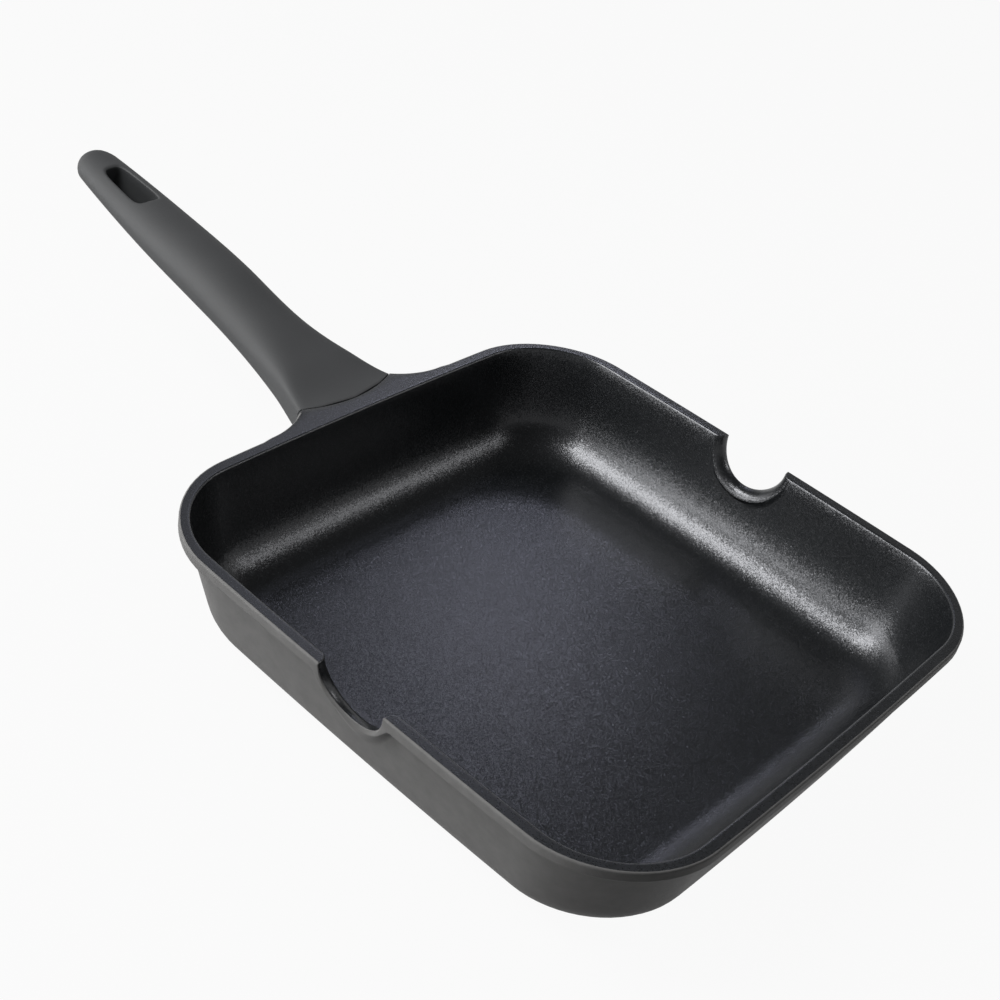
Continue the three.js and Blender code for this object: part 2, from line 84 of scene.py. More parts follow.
def add_object(name: str, data: bpy.types.ID) -> bpy.types.Object:
    """Make an object of some data and link it to the scene.

    Args:
        name: name of the object.
        data: its mesh, lamp or camera.

    Returns:
        The object, at the origin.
    """
    made = bpy.data.objects.new(name, data)
    bpy.context.scene.collection.objects.link(made)
    return made


def held(share: Array) -> Array:
    """Keep shares between 0 and 1."""
    return np.clip(share, 0.0, 1.0)


def ease(share: Array) -> Array:
    """Smooth step from 0 to 1: 3t squared less 2t cubed, held at both ends."""
    return held(share) ** 2 * (3.0 - 2.0 * held(share))


def blend(start: Array, end: Array, share: Array) -> Array:
    """Straight-line mix of two values or arrays."""
    return start + (end - start) * share


def steps(count: int) -> Array:
    """Even shares past 0 and up to 1, one to a row."""
    return np.linspace(0.0, 1.0, count + 1)[1:, None]


def xyz(x: Array, y: Array, z: Array) -> Array:
    """Points from coordinates that are spread to one shape."""
    return np.stack(np.broadcast_arrays(x, y, z), axis=-1)


def oval(share: Array, power: Array) -> Array:
    """Height of a squared quarter oval: (1 - t^p)^(1/p), with t the share of its half width."""
    return (1.0 - held(share) ** power) ** (1.0 / power)


def round_angles(count: int) -> Array:
    """Cosines and sines of angles spread evenly once round."""
    angle = np.arange(count) * 2.0 * math.pi / count
    return np.stack([np.cos(angle), np.sin(angle)])


def hollow(share: Array, smooth: Array) -> tuple[Array, Array]:
    """Reach outwards and climb of a cove: a quarter circle, mixed by a share with a smooth step."""
    out, climb = 1.0 - np.cos(share * QUARTER), np.sin(share * QUARTER)
    return blend(out, ease(share), smooth), blend(climb, share, smooth)


def edge_drop(inset: Array, radius: Array, edge: float) -> Array:
    """Fall of a rounded edge below the flat beside it: r - sqrt(r^2 - t^2), at t past the flat's end."""
    past = np.clip(inset - (edge - radius), 0.0, radius)
    return radius - np.sqrt(radius ** 2 - past ** 2)


class Skin:
    """Vertices and faces of one closed mesh, gathered patch by patch, in millimetres."""

    def __init__(self) -> None:
        """Start with no vertices and no faces."""
        self.points: list[Array] = []
        self.quads: list[Array] = []
        self.triangles: list[Array] = []
        self.quad_zones: list[Array] = []
        self.triangle_zones: list[Array] = []
        self.count = 0

    def add(self, points: Array) -> Array:
        """Keep points.

        Args:
            points: array whose last axis is x, y, z.

        Returns:
            Their vertex numbers, in the shape of the array without its last axis.
        """
        flat = points.reshape(-1, 3)
        numbers = np.arange(self.count, self.count + len(flat))
        self.points.append(flat)
        self.count += len(flat)
        return numbers.reshape(points.shape[:-1])

    def sheet(self, grid: Array, zone: Array = 0, skip: Array | None = None) -> None:
        """Join rings of vertex numbers, each closed on itself, into quads.

        Args:
            grid: vertex numbers, one ring to a row.
            zone: material slot of the faces, one number or one for each face.
            skip: faces to leave out, or None.
        """
        after = np.roll(grid, -1, axis=1)
        faces = np.stack([grid[:-1], after[:-1], after[1:], grid[1:]], axis=-1)
        keep = np.ones(faces.shape[:2], bool) if skip is None else ~skip
        self.quads.append(faces[keep])
        self.quad_zones.append(np.broadcast_to(zone, faces.shape[:2])[keep])

    def cap(self, ring: Array, tip: Triple | Array, zone: int = 0, first: bool = False) -> None:
        """Close a ring by a fan of triangles to one point.

        Args:
            ring: vertex numbers of the ring.
            tip: the point in the middle.
            zone: material slot.
            first: True where the ring is the first row of its sheet, False where it is the last.
        """
        middle = np.full(len(ring), self.add(np.array([tip]))[0])
        after = np.roll(ring, -1)
        edges = [after, ring] if first else [ring, after]
        self.triangles.append(np.stack([*edges, middle], axis=-1))
        self.triangle_zones.append(np.full(len(ring), zone))

    def build(self, name: str, finishes: list[bpy.types.Material]) -> bpy.types.Object:
        """Make the object, with its faces outwards.

        They are turned round where six times the enclosed volume, the sum of p0 . (p1 x p2), is negative.

        Args:
            name: name of the object and of its mesh.
            finishes: one material for each zone.

        Returns:
            The object, linked to the scene, at the origin.
        """
        points = np.concatenate(self.points)
        quads = np.concatenate(self.quads)
        triangles = np.concatenate(self.triangles)
        halves = np.concatenate([quads[:, [0, 1, 2]], quads[:, [0, 2, 3]], triangles])
        corners = points[halves]
        if np.sum(corners[:, 0] * np.cross(corners[:, 1], corners[:, 2])) < 0.0:
            quads, triangles = quads[:, ::-1], triangles[:, ::-1]
        mesh = bpy.data.meshes.new(name)
        mesh.from_pydata((points * MM).tolist(), [], quads.tolist() + triangles.tolist())
        zones = np.concatenate(self.quad_zones + self.triangle_zones).astype(np.int32)
        mesh.polygons.foreach_set("material_index", zones)
        mesh.polygons.foreach_set("use_smooth", np.ones(len(zones), bool))
        mesh.set_sharp_from_angle(angle=SHARP_EDGE)
        for finish in finishes:
            mesh.materials.append(finish)
        return add_object(name, mesh)


def window(rows: Array, columns: Array) -> tuple[Array, Array, Array, Array]:
    """Walk once round a block of a grid.

    Args:
        rows: row numbers of the block, in the order to walk.
        columns: column numbers of the block, in the order to walk.

    Returns:
        Row and column number of each vertex on the block's border, and its place along the rows and along
        the columns, each from -1 to 1.
    """
    tall, wide = len(rows) - 1, len(columns) - 1
    down = np.concatenate([np.zeros(wide), np.arange(tall), np.full(wide, tall), np.arange(tall, 0, -1)])
    over = np.concatenate([np.arange(wide), np.full(tall, wide), np.arange(wide, 0, -1), np.zeros(tall)])
    places = 2.0 * down / tall - 1.0, 2.0 * over / wide - 1.0
    return rows[down.astype(int)], columns[over.astype(int)], *places


def block_mask(points: Array, rows: Array, columns: Array) -> Array:
    """Mark the faces of a grid of rings that lie inside a block of its vertices.

    Args:
        points: the grid's points, one ring to a row.
        rows: row numbers of the block.
        columns: column numbers of the block.

    Returns:
        Mask of the grid's faces.
    """
    mask = np.zeros((len(points) - 1, points.shape[1]), bool)
    mask[rows.min():rows.max(), columns.min():columns.max()] = True
    return mask


class Work(Enum):
    """Ways to work on values or vectors in a node."""

    ADD = "ADD"
    SUBTRACT = "SUBTRACT"
    MULTIPLY = "MULTIPLY"
    MAXIMUM = "MAXIMUM"
    SCALE = "SCALE"
    LENGTH = "LENGTH"
    NORMALIZE = "NORMALIZE"


class Graph:
    """A node tree under construction."""

    def __init__(self, tree: bpy.types.NodeTree) -> None:
        """Take over a tree."""
        self.tree = tree

    def fill(self, node: bpy.types.Node, sockets: dict[str, object]) -> None:
        """Link sockets of a node to outputs, or set them to values.

        Args:
            node: the node.
            sockets: outputs and values, by the socket's name with _ for a space, or by number as i0, i1.
        """
        for key, value in sockets.items():
            numbered = key[0] == "i" and key[1:].isdigit()
            socket = node.inputs[int(key[1:]) if numbered else key.replace("_", " ")]
            if isinstance(value, Socket):
                self.tree.links.new(value, socket)
            else:
                socket.default_value = value

    def node(self, kind: str, settings: dict[str, str] | None = None, **sockets: object) -> bpy.types.Node:
        """Add a node.

        Args:
            kind: the node's type, without the words that every type starts with.
            settings: its properties.
            sockets: outputs and values for its sockets.

        Returns:
            The node.
        """
        made = self.tree.nodes.new("ShaderNode" + kind)
        for key, value in (settings or {}).items():
            setattr(made, key, value)
        self.fill(made, sockets)
        return made

    def work(self, first: Socket | float, second: Socket | float, how: Work) -> Socket:
        """Work on two values."""
        return self.node("Math", {"operation": how.value}, i0=first, i1=second).outputs["Value"]

    def map(self, value: Socket, low: float, high: float, to_low: float, to_high: Socket | float) -> Socket:
        """Carry a value from one range to another, held at both ends."""
        return self.node("MapRange", i0=value, i1=low, i2=high, i3=to_low, i4=to_high).outputs["Result"]


class Surface(Graph):
    """A Principled material under construction, patterned on Object coordinates."""

    def __init__(self, name: str) -> None:
        """Make the material and its coordinates.

        Args:
            name: name of the material.
        """
        self.material = bpy.data.materials.new(name)
        self.material.use_nodes = True
        super().__init__(self.material.node_tree)
        self.place = self.node("TexCoord").outputs["Object"]

    def noise(self, grain: float, detail: float = 2.0, roughness: float = 0.5) -> Socket:
        """Noise whose grains measure about the given millimetres."""
        values = {"Scale": 1.0 / (grain * MM), "Detail": detail, "Roughness": roughness}
        return self.node("TexNoise", Vector=self.place, **values).outputs["Fac"]

    def cells(self, grain: float) -> tuple[Socket, Socket]:
        """A crowd of small cells, each with a random colour and a random lot.

        Args:
            grain: size of a cell in millimetres.

        Returns:
            The colour and the lot.
        """
        made = self.node("TexVoronoi", Vector=self.place, Scale=1.0 / (grain * MM))
        lot = self.node("TexWhiteNoise", Vector=made.outputs["Position"])
        return made.outputs["Color"], lot.outputs["Value"]

    def even(self, noise: Socket) -> Socket:
        """Stretch a noise to the range from 0 to 1."""
        return self.map(noise, *NOISE_RANGE, 0.0, 1.0)

    def uneven(self, noise: Socket, middle: float, less: float, more: float) -> Socket:
        """A value that a noise makes smaller and larger by the given amounts."""
        return self.work(self.map(noise, *NOISE_RANGE, -less, more), middle, Work.ADD)

    def tint(self, share: Socket, first: Socket | Colour, second: Socket | Colour) -> Socket:
        """Mix two colours by a share from 0 to 1."""
        return self.node("Mix", {"data_type": "RGBA"}, Factor=share, i6=first, i7=second).outputs[2]

    def mottle(self, share: Socket, level: float, swing: tuple[float, float], warm: float = 0.0) -> Socket:
        """Mix a grey made darker and the grey made lighter by the two factors of a swing."""
        return self.tint(share, *(grey(level * factor, warm) for factor in swing))

    def relief(self, height: Socket, depth: float, strength: float, **under: Socket) -> Socket:
        """Bump of the given depth in millimetres, over another Normal where one is given."""
        made = self.node("Bump", Height=height, Distance=depth * MM, Strength=strength, **under)
        return made.outputs["Normal"]

    def vector(self, how: Work, **sockets: Socket | Triple) -> bpy.types.NodeOutputs:
        """Work on vectors."""
        return self.node("VectorMath", {"operation": how.value}, **sockets).outputs

    def scatter(self, spread: Socket, amount: Socket) -> Socket:
        """Normals tilted at random: the true normal plus the centred random colour times an amount.

        Args:
            spread: the random colour.
            amount: the amount.

        Returns:
            The normals.
        """
        centred = self.vector(Work.SUBTRACT, i0=spread, i1=(0.5, 0.5, 0.5))[0]
        scaled = self.vector(Work.SCALE, i0=centred, Scale=amount)[0]
        normal = self.node("NewGeometry").outputs["Normal"]
        tilted = self.vector(Work.ADD, i0=normal, i1=scaled)[0]
        return self.vector(Work.NORMALIZE, i0=tilted)[0]

    def dress(self, **sockets: object) -> bpy.types.Material:
        """Set or link the shader's sockets, and return the material."""
        self.fill(self.tree.nodes["Principled BSDF"], sockets)
        return self.material


def grey(level: float, warm: float = 0.0) -> Colour:
    """A grey of the given linear level, warmer or cooler by a share of it."""
    return (level * (1.0 + warm), level, level * (1.0 - warm), 1.0)


@dataclass(frozen=True)
class SpeckledCoat:
    """Black non-stick coat with fine metal flakes that lie at all small angles."""

    black: float = 0.004
    swing: tuple[float, float] = (0.8, 1.25)
    cool: float = -0.12
    cloud_grain: float = 38.0
    dull_grain: float = 5.0
    bump_grain: float = 0.9
    flake: float = 0.075
    flake_grain: float = 0.38
    flake_share: float = 0.1
    flake_cover: float = 0.45
    flake_metal: float = 0.5
    flake_tilt: float = 0.3
    ground_tilt: float = 0.16
    roughness: float = 0.29
    gloss: float = 0.46
    gloss_tint: Colour = COOL_WHITE

    def material(self) -> bpy.types.Material:
        """Make the finish: black ground, and a flake in some of the small cells, each tilted its own way.

        Returns:
            The material.
        """
        make = Surface("speckled_coat")
        spread, lot = make.cells(self.flake_grain)
        shine = make.map(lot, 1.0 - self.flake_share, 1.0, 0.0, 1.0)
        cloud = make.noise(self.cloud_grain, detail=3.0)
        ground = make.mottle(cloud, self.black, self.swing, self.cool)
        dull = make.noise(self.dull_grain, detail=4.0)
        cover = make.work(shine, self.flake_cover, Work.MULTIPLY)
        tilt = make.map(shine, 0.0, 1.0, self.ground_tilt, self.flake_tilt)
        bumps = make.noise(self.bump_grain, detail=3.0)
        return make.dress(
            Base_Color=make.tint(cover, ground, grey(self.flake, self.cool / 2.0)),
            Roughness=make.uneven(dull, self.roughness, less=0.012, more=0.014),
            Metallic=make.work(shine, self.flake_metal, Work.MULTIPLY),
            Specular_IOR_Level=self.gloss, Specular_Tint=self.gloss_tint,
            Normal=make.relief(bumps, depth=0.02, strength=0.35, Normal=make.scatter(spread, tilt)))


@dataclass(frozen=True)
class SprayedPaint:
    """Dark grey sprayed coat, slightly mottled, with a fine orange peel."""

    name: str
    level: float
    warm: float
    swing: tuple[float, float] = (0.86, 1.14)
    blotch_grain: float = 7.0
    blotch_share: float = 0.65
    fine_grain: float = 0.8
    peel_grain: float = 0.55
    roughness: float = 0.52
    gloss: float = 0.3
    gloss_tint: Colour = WHITE

    def material(self) -> bpy.types.Material:
        """Make the finish: grey clouded at two scales, with a fine grain in its height and its gloss.

        Returns:
            The material.
        """
        make = Surface(self.name)
        blotches = make.noise(self.blotch_grain, detail=3.0, roughness=0.6)
        grains = make.noise(self.fine_grain)
        large = make.work(blotches, self.blotch_share, Work.MULTIPLY)
        small = make.work(grains, 1.0 - self.blotch_share, Work.MULTIPLY)
        share = make.even(make.work(large, small, Work.ADD))
        return make.dress(
            Base_Color=make.mottle(share, self.level, self.swing, self.warm),
            Roughness=make.uneven(grains, self.roughness, less=0.05, more=0.06),
            Specular_IOR_Level=self.gloss, Specular_Tint=self.gloss_tint,
            Normal=make.relief(make.noise(self.peel_grain, detail=3.0), depth=0.05, strength=0.45))


@dataclass(frozen=True)
class MouldedResin:
    """Dark grey hard moulding with a fine satin texture."""

    name: str = "moulded_resin"
    level: float = 0.02
    warm: float = -0.04
    swing: tuple[float, float] = (0.95, 1.05)
    flow_grain: float = 24.0
    texture_grain: float = 0.4
    roughness: float = 0.72
    gloss: float = 0.42

    def material(self) -> bpy.types.Material:
        """Make the finish: grey with faint flow clouds and a fine spark-eroded texture.

        Returns:
            The material.
        """
        make = Surface(self.name)
        flow = make.even(make.noise(self.flow_grain, detail=3.0))
        grains = make.noise(self.texture_grain)
        return make.dress(
            Base_Color=make.mottle(flow, self.level, self.swing, self.warm),
            Roughness=make.uneven(grains, self.roughness, less=0.05, more=0.05),
            Specular_IOR_Level=self.gloss,
            Normal=make.relief(grains, depth=0.03, strength=0.35))


@dataclass(frozen=True)
class TurnedSteel:
    """Steel turned on a lathe, with fine rings round the part's own axis."""

    level: float = 0.56
    swing: tuple[float, float] = (0.85, 1.1)
    pitch: float = 0.35
    mark_grain: float = 18.0
    mark_share: float = 0.5
    roughness: float = 0.3

    def material(self) -> bpy.types.Material:
        """Make the finish: gloss and height vary with the distance from the axis, with some cloudy marks.

        Returns:
            The material.
        """
        make = Surface("turned_steel")
        flat = make.vector(Work.MULTIPLY, i0=make.place, i1=(1.0, 1.0, 0.0))[0]
        radius = make.vector(Work.LENGTH, i0=flat)["Value"]
        rings = make.node("TexNoise", {"noise_dimensions": "1D"}, W=radius, Scale=1.0 / (self.pitch * MM),
                          Detail=2.0).outputs["Fac"]
        marks = make.work(make.noise(self.mark_grain, detail=4.0), self.mark_share, Work.MULTIPLY)
        share = make.map(make.work(rings, marks, Work.ADD), 0.45, 1.05, 0.0, 1.0)
        return make.dress(
            Base_Color=make.mottle(share, self.level, self.swing),
            Roughness=make.uneven(rings, self.roughness, less=0.06, more=0.08),
            Metallic=1.0,
            Normal=make.relief(rings, depth=0.02, strength=0.4))


@dataclass(frozen=True)
class PlatedSteel:
    """Small steel part with a zinc plate, or darker where it is oiled spring steel."""

    name: str
    level: float
    roughness: float = 0.28
    swing: tuple[float, float] = (0.85, 1.1)
    warm: float = 0.02
    mark_grain: float = 1.6
    bump_grain: float = 0.3

    def material(self) -> bpy.types.Material:
        """Make the finish: metal with small cloudy marks in its colour and gloss.

        Returns:
            The material.
        """
        make = Surface(self.name)
        marks = make.noise(self.mark_grain, detail=4.0)
        darker, lighter = self.swing
        dark, light = grey(self.level * darker, self.warm), grey(self.level * lighter, self.warm / 2.0)
        return make.dress(
            Base_Color=make.tint(make.even(marks), dark, light),
            Roughness=make.uneven(marks, self.roughness, less=0.05, more=0.1),
            Metallic=1.0,
            Normal=make.relief(make.noise(self.bump_grain), depth=0.01, strength=0.3))


class Zone(IntEnum):
    """Material slots of the casting."""

    OUTSIDE = 0
    INSIDE = 1
    # Dark rim paint: the coat's dark colour over the rim's top, darkened further as painted shade on the
    # upward-facing top; on the boss's joint face it is painted shade in the seam's gap.
    RIM_AND_SHADE = 2


class Side(IntEnum):
    """The casting's four sides, by the direction they face in quarter turns from +X."""

    FRONT = 0
    LEFT = 1
    HANDLE = 2
    RIGHT = 3


class Boss(IntEnum):
    """What a column meets of the boss: nothing, its joint face or its hollow flank."""

    NONE = 0
    FACE = 1
    FLANK = 2


COLUMN = np.dtype([(name, float) for name in (
    "facing", "middle_x", "middle_y", "run_x", "run_y", "along", "notched", "path", "drop", "out_c", "out_z",
    "sway_c", "sway_z", "flat", "boss", "seam", "fair")])
MIRRORED = ("along", "path", "out_c", "sway_c", "seam")
EDGE_TURNS = np.radians([0.0, 35.0, 65.0, 90.0])
TROUGH_TURNS = np.radians([0.0, 25.0, 42.0, 54.0, 63.0, 70.0, 76.0, 82.0, 90.0])


def plain_columns(along: Array) -> Array:
    """Columns of half a side that has nothing on it.

    Args:
        along: place of each column along the side, from its middle.

    Returns:
        Columns that meet the rim's flat top at that place.
    """
    made = np.zeros(len(along), COLUMN)
    made["along"] = along
    made["path"] = along
    made["out_z"] = -1.0
    made["flat"] = 1.0
    return made


@dataclass
class Plan:
    """Outline of the casting from above: a rounded square with sides that bow out a little."""

    half_length: float
    half_width: float
    bow: float = 2.4
    bow_power: float = 8.0
    rim_corner: float = 49.0
    kept_x: float = 40.0
    kept_y: float = 58.0

    def reach(self) -> tuple[float, float]:
        """Half of the straight stretch of the rim along x and along y."""
        shrink = self.bow + self.rim_corner
        return self.half_length - shrink, self.half_width - shrink

    def slide(self, place: Array, end: Array, rim_end: float, kept: float) -> Array:
        """Carry a place on the rim's straight stretch to a smaller outline.

        Places within the kept stretch stay, and beyond it they close up evenly towards the new end.

        Args:
            place: places along the rim.
            end: end of the straight stretch on the smaller outline.
            rim_end: end of it on the rim.
            kept: half of the stretch that stays.

        Returns:
            Places on the smaller outline.
        """
        size = np.abs(place)
        closed = kept + (size - kept) * (end - kept) / (rim_end - kept)
        return np.sign(place) * np.where(size < kept, size, closed)

    def place(self, columns: Array, along: Array, inset: Array, corner: Array) -> tuple[Array, Array]:
        """Points of the outline at an inset.

        A point is the middle of its corner circle plus the circle's radius in the column's facing. Then each
        side bows out by bow (1 - (across / half)^2), fading inwards with the eighth power.

        Args:
            columns: the columns round the outline.
            along: place of each point along its side, on the rim.
            inset: distance in from the rim's outer face.
            corner: corner radius at that inset.

        Returns:
            x and y of the points.
        """
        half_x = self.half_length - self.bow - inset
        half_y = self.half_width - self.bow - inset
        rim_x, rim_y = self.reach()
        middle_x = columns["middle_x"] * rim_x + columns["run_x"] * along
        middle_y = columns["middle_y"] * rim_y + columns["run_y"] * along
        x = self.slide(middle_x, half_x - corner, rim_x, self.kept_x) + corner * np.cos(columns["facing"])
        y = self.slide(middle_y, half_y - corner, rim_y, self.kept_y) + corner * np.sin(columns["facing"])
        bow_x = np.sign(x) * self.bow * (1.0 - (y / half_y) ** 2) * (np.abs(x) / half_x) ** self.bow_power
        bow_y = np.sign(y) * self.bow * (1.0 - (x / half_x) ** 2) * (np.abs(y) / half_y) ** self.bow_power
        return x + bow_x, y + bow_y


class Half(IntEnum):
    """The two sides of the joint's gap, by the direction they lie in x."""

    BOSS = 1
    HANDLE = -1


@dataclass
class Seam:
    """The round joint face between the casting's boss and the handle."""

    corner_x: float
    half_width: float = 29.5
    radius: float = 68.0
    gap: float = 0.3
    middle_z: float = 48.0

    def face_x(self, y: Array, side: Half) -> Array:
        """x of the joint face at y on one side of the gap: a cylinder about an upright axis."""
        axis = self.corner_x - math.sqrt(self.radius ** 2 - self.half_width ** 2)
        return axis + np.sqrt((self.radius + side * self.gap / 2.0) ** 2 - y ** 2)


@dataclass
class Casting:
    """The cast pan: floor, walls, flanged rim with two pouring notches, and the boss with its tang."""

    plan: Plan
    seam: Seam
    height: float
    plate_radius: float
    plate_depth: float
    tang_top: float
    outside: SprayedPaint = SprayedPaint("outside_paint", 0.082, 0.01, gloss=0.06)
    inside: SpeckledCoat = SpeckledCoat()
    # Rim paint: partly the coat's dark colour carried over the rim, partly painted shade that makes the
    # upward-facing rim top darker than the lit walls.
    rim: SprayedPaint = SprayedPaint("rim_paint_and_shade", 0.006, -0.1, roughness=0.3, gloss=0.6,
                                     gloss_tint=COOL_WHITE)
    plate_edge: float = 0.3
    mouth_corner: float = 40.5
    base_corner: float = 33.0
    floor_corner: float = 21.0
    rim_face: float = 5.8
    rim_edge: float = 0.9
    coat_edge: float = 0.35
    lip_height: float = 5.6
    lip_overhang: float = 3.8
    lip_edge: float = 1.0
    least_edge: float = 0.1
    cove_height: float = 2.4
    outer_draft: float = math.radians(13.0)
    inner_draft: float = math.radians(12.0)
    foot_draft: float = math.radians(25.0)
    corner_hollow: float = 0.4
    base_fillet: float = 24.0
    floor_fillet: float = 26.0
    floor_thickness: float = 5.0
    notch_radius: float = 18.0
    notch_round: float = 4.5
    notch_edge: float = 0.5
    notch_border: float = 3.4
    notch_blend: float = 20.0
    notch_fairing: float = 11.0
    notch_fairing_width: float = 31.0
    notch_bite: float = 1.5
    trough_edge: float = 0.3
    trough_share: float = 0.97
    turn_share: float = 0.8
    boss_depth: float = 20.0
    boss_root: float = 14.0
    boss_shoulder: float = 8.0
    boss_draw: float = 5.0
    boss_fairing: float = 36.0
    boss_square: float = 14.0
    boss_crown: float = 0.6
    boss_round: float = 2.2
    boss_tuck: float = 0.97
    tang_length: float = 42.0
    tang_width: float = 22.0
    tang_thickness: float = 8.0
    tang_rise: float = 2.0
    tang_tip: float = 0.9
    tang_share: float = 0.45
    tang_rows: tuple[int, int] = (2, 8)
    wall_rows: int = 7
    cove_rows: int = 7
    face_rows: int = 7
    bowl_rows: int = 8

    def __post_init__(self) -> None:
        """Work out the sizes that follow from the others."""
        self.wall_top = self.height - self.lip_height - self.cove_height
        lean = math.sin(self.outer_draft)
        rest = self.base_fillet * (math.cos(self.outer_draft) - (1.0 - lean) * math.tan(self.outer_draft))
        self.base_inset = self.wall_inset(0.0) + rest
        self.fillet_top = self.base_fillet * (1.0 - lean)
        self.bowl_z = self.floor_thickness + self.floor_fillet
        self.bowl_top = self.bowl_z - self.floor_fillet * math.sin(self.foot_draft)
        wall_span = self.height - self.bowl_top
        foot = wall_span * math.tan(self.inner_draft)
        self.wall_hollow = wall_span * math.tan(self.foot_draft) - foot
        self.floor_inset = self.rim_face + foot + self.floor_fillet * math.cos(self.foot_draft)
        self.boss_reach = -self.plan.half_length - self.seam.corner_x

    def wall_inset(self, z: Array) -> Array:
        """Inset of the outer wall at a height."""
        return self.lip_overhang + (self.wall_top - z) * math.tan(self.outer_draft)

    def notch_columns(self) -> Array:
        """Columns of half a side with a pouring notch.

        They follow the notch's half circle, then the small turn of its edge, and then the rim's flat top. On
        the wall below, the columns of both turns end a little short of them.

        Returns:
            Columns from the notch's middle to the end of the side.
        """
        radius = self.notch_radius
        turn = np.linspace(0.0, QUARTER, num=18)[:-1]
        trough = plain_columns(self.trough_share * radius * turn / QUARTER)
        trough["path"], trough["drop"] = radius * np.sin(turn), radius * np.cos(turn)
        trough["out_c"], trough["out_z"] = np.sin(turn), -np.cos(turn)
        trough["sway_c"], trough["sway_z"] = np.sin(turn), -np.cos(turn)
        trough["flat"] = 0.0
        roll = np.radians([0.0, 30.0, 60.0])
        edge = plain_columns(radius + self.turn_share * self.notch_edge * roll / QUARTER)
        edge["path"] = radius + self.notch_edge * (1.0 - np.cos(roll))
        edge["drop"] = self.notch_edge * (1.0 - np.sin(roll))
        edge["out_c"], edge["out_z"] = np.cos(roll), -np.sin(roll)
        edge["sway_c"], edge["flat"] = 1.0, np.sin(roll)
        start = radius + self.notch_edge
        beyond = np.linspace(0.0, 1.0, num=18) ** 2 * (self.plan.reach()[0] - start)
        level = plain_columns(start + beyond)
        level["sway_c"] = held(1.0 - beyond / self.notch_blend) ** 2
        half = np.concatenate([trough, edge, level])
        half["notched"] = 1.0
        return half

    def boss_columns(self) -> Array:
        """Columns of half the handle side: the joint face, the boss's hollow flank, and the rim beyond it.

        Returns:
            Columns from the side's middle to its end.
        """
        across = np.linspace(0.0, 1.0, num=15)
        root = self.seam.half_width - self.boss_draw
        face = plain_columns(across * root)
        face["seam"], face["fair"], face["boss"] = across, 1.0, Boss.FACE
        share = across[-2::-1]
        foot = self.flank(0.0)
        flank = plain_columns(blend(foot, root, share))
        flank["seam"], flank["fair"], flank["boss"] = 1.0, share ** 2, Boss.FLANK
        beyond = plain_columns(np.linspace(foot, self.plan.reach()[1], num=7)[1:])
        return np.concatenate([face, flank, beyond])

    def flank(self, share: Array) -> Array:
        """Half width of the boss at a share of its reach: a hollow quarter circle that ends at the rim.

        Args:
            share: share of the way from the rim to the joint.

        Returns:
            The half width.
        """
        radius = self.boss_fairing
        fall = np.sqrt(radius ** 2 - (radius - self.boss_reach * share) ** 2)
        full = math.sqrt(radius ** 2 - (radius - self.boss_reach) ** 2)
        return self.seam.half_width + full - fall

    def columns(self) -> Array:
        """Columns round the whole casting, anticlockwise from the start of the front side.

        Returns:
            One record for each column, sides and corners in turn.
        """
        halves = {Side.FRONT: plain_columns(np.linspace(0.0, self.plan.reach()[1], num=9)),
                  Side.LEFT: self.notch_columns(), Side.HANDLE: self.boss_columns(),
                  Side.RIGHT: self.notch_columns()}
        turns = np.linspace(0.0, QUARTER, num=18)[1:-1]
        parts = []
        for side, half in halves.items():
            other = half[:0:-1].copy()
            for name in MIRRORED:
                other[name] *= -1.0
            whole = np.concatenate([other, half])
            whole["facing"] = side * QUARTER
            whole["middle_x"] = round(math.cos(side * QUARTER))
            whole["middle_y"] = round(math.sin(side * QUARTER))
            whole["run_x"], whole["run_y"] = -whole["middle_y"], whole["middle_x"]
            corner = plain_columns(np.zeros(len(turns)))
            corner["facing"] = side * QUARTER + turns
            corner["middle_x"] = np.sign(np.cos(corner["facing"]))
            corner["middle_y"] = np.sign(np.sin(corner["facing"]))
            parts += [whole, corner]
        return np.concatenate(parts)

    def outer_points(self, columns: Array, along: Array, inset: Array, z: Array) -> Array:
        """Points outside, where the corner radius runs from the rim's at no inset to the base's."""
        corner = blend(self.plan.rim_corner, self.base_corner, held(inset / self.base_inset))
        return xyz(*self.plan.place(columns, along, inset, corner), z)

    def inner_points(self, columns: Array, along: Array, inset: Array, z: Array) -> Array:
        """Points across the rim's top and inside, with the rim's corner radius, the mouth's and the floor's.

        Args:
            columns: the columns.
            along: place along the side, for each row and column.
            inset: inset from the rim's outer face.
            z: height.

        Returns:
            Array of rows, columns and x, y, z.
        """
        top = blend(self.plan.rim_corner, self.mouth_corner, held(inset / self.rim_face))
        down = held((inset - self.rim_face) / (self.floor_inset - self.rim_face))
        corner = np.where(inset < self.rim_face, top, blend(self.mouth_corner, self.floor_corner, down))
        return xyz(*self.plan.place(columns, along, inset, corner), z)

    def underside(self, columns: Array) -> Array:
        """Rows of the recess for the steel disc, the flat base and the round up to the wall.

        Args:
            columns: the columns.

        Returns:
            Points, from the middle of the recess outwards.
        """
        turn = np.linspace(QUARTER, self.outer_draft, num=13)[:, None]
        inset = self.base_inset - self.base_fillet * np.cos(turn)
        fillet = self.outer_points(columns, columns["along"], inset, self.base_fillet * (1.0 - np.sin(turn)))
        foot = fillet[0]
        bearing = np.arctan2(foot[:, 1], foot[:, 0])
        radius = self.plate_radius * np.array([[0.4], [1.0], [1.0], [1.0]])
        radius[-1] += self.plate_edge
        z = np.array([[self.plate_depth], [self.plate_depth], [self.plate_edge], [0.0]])
        recess = xyz(radius * np.cos(bearing), radius * np.sin(bearing), z)
        flat = blend(recess[-1], foot, np.array([0.35, 0.7])[:, None, None])
        return np.concatenate([recess, flat, fillet])

    def near_notch(self, columns: Array) -> Array:
        """Share that falls from 1 at a notch's middle to 0 beside it: (1 - t^2)^2."""
        return held(1.0 - (columns["along"] / self.notch_fairing_width) ** 2) ** 2 * columns["notched"]

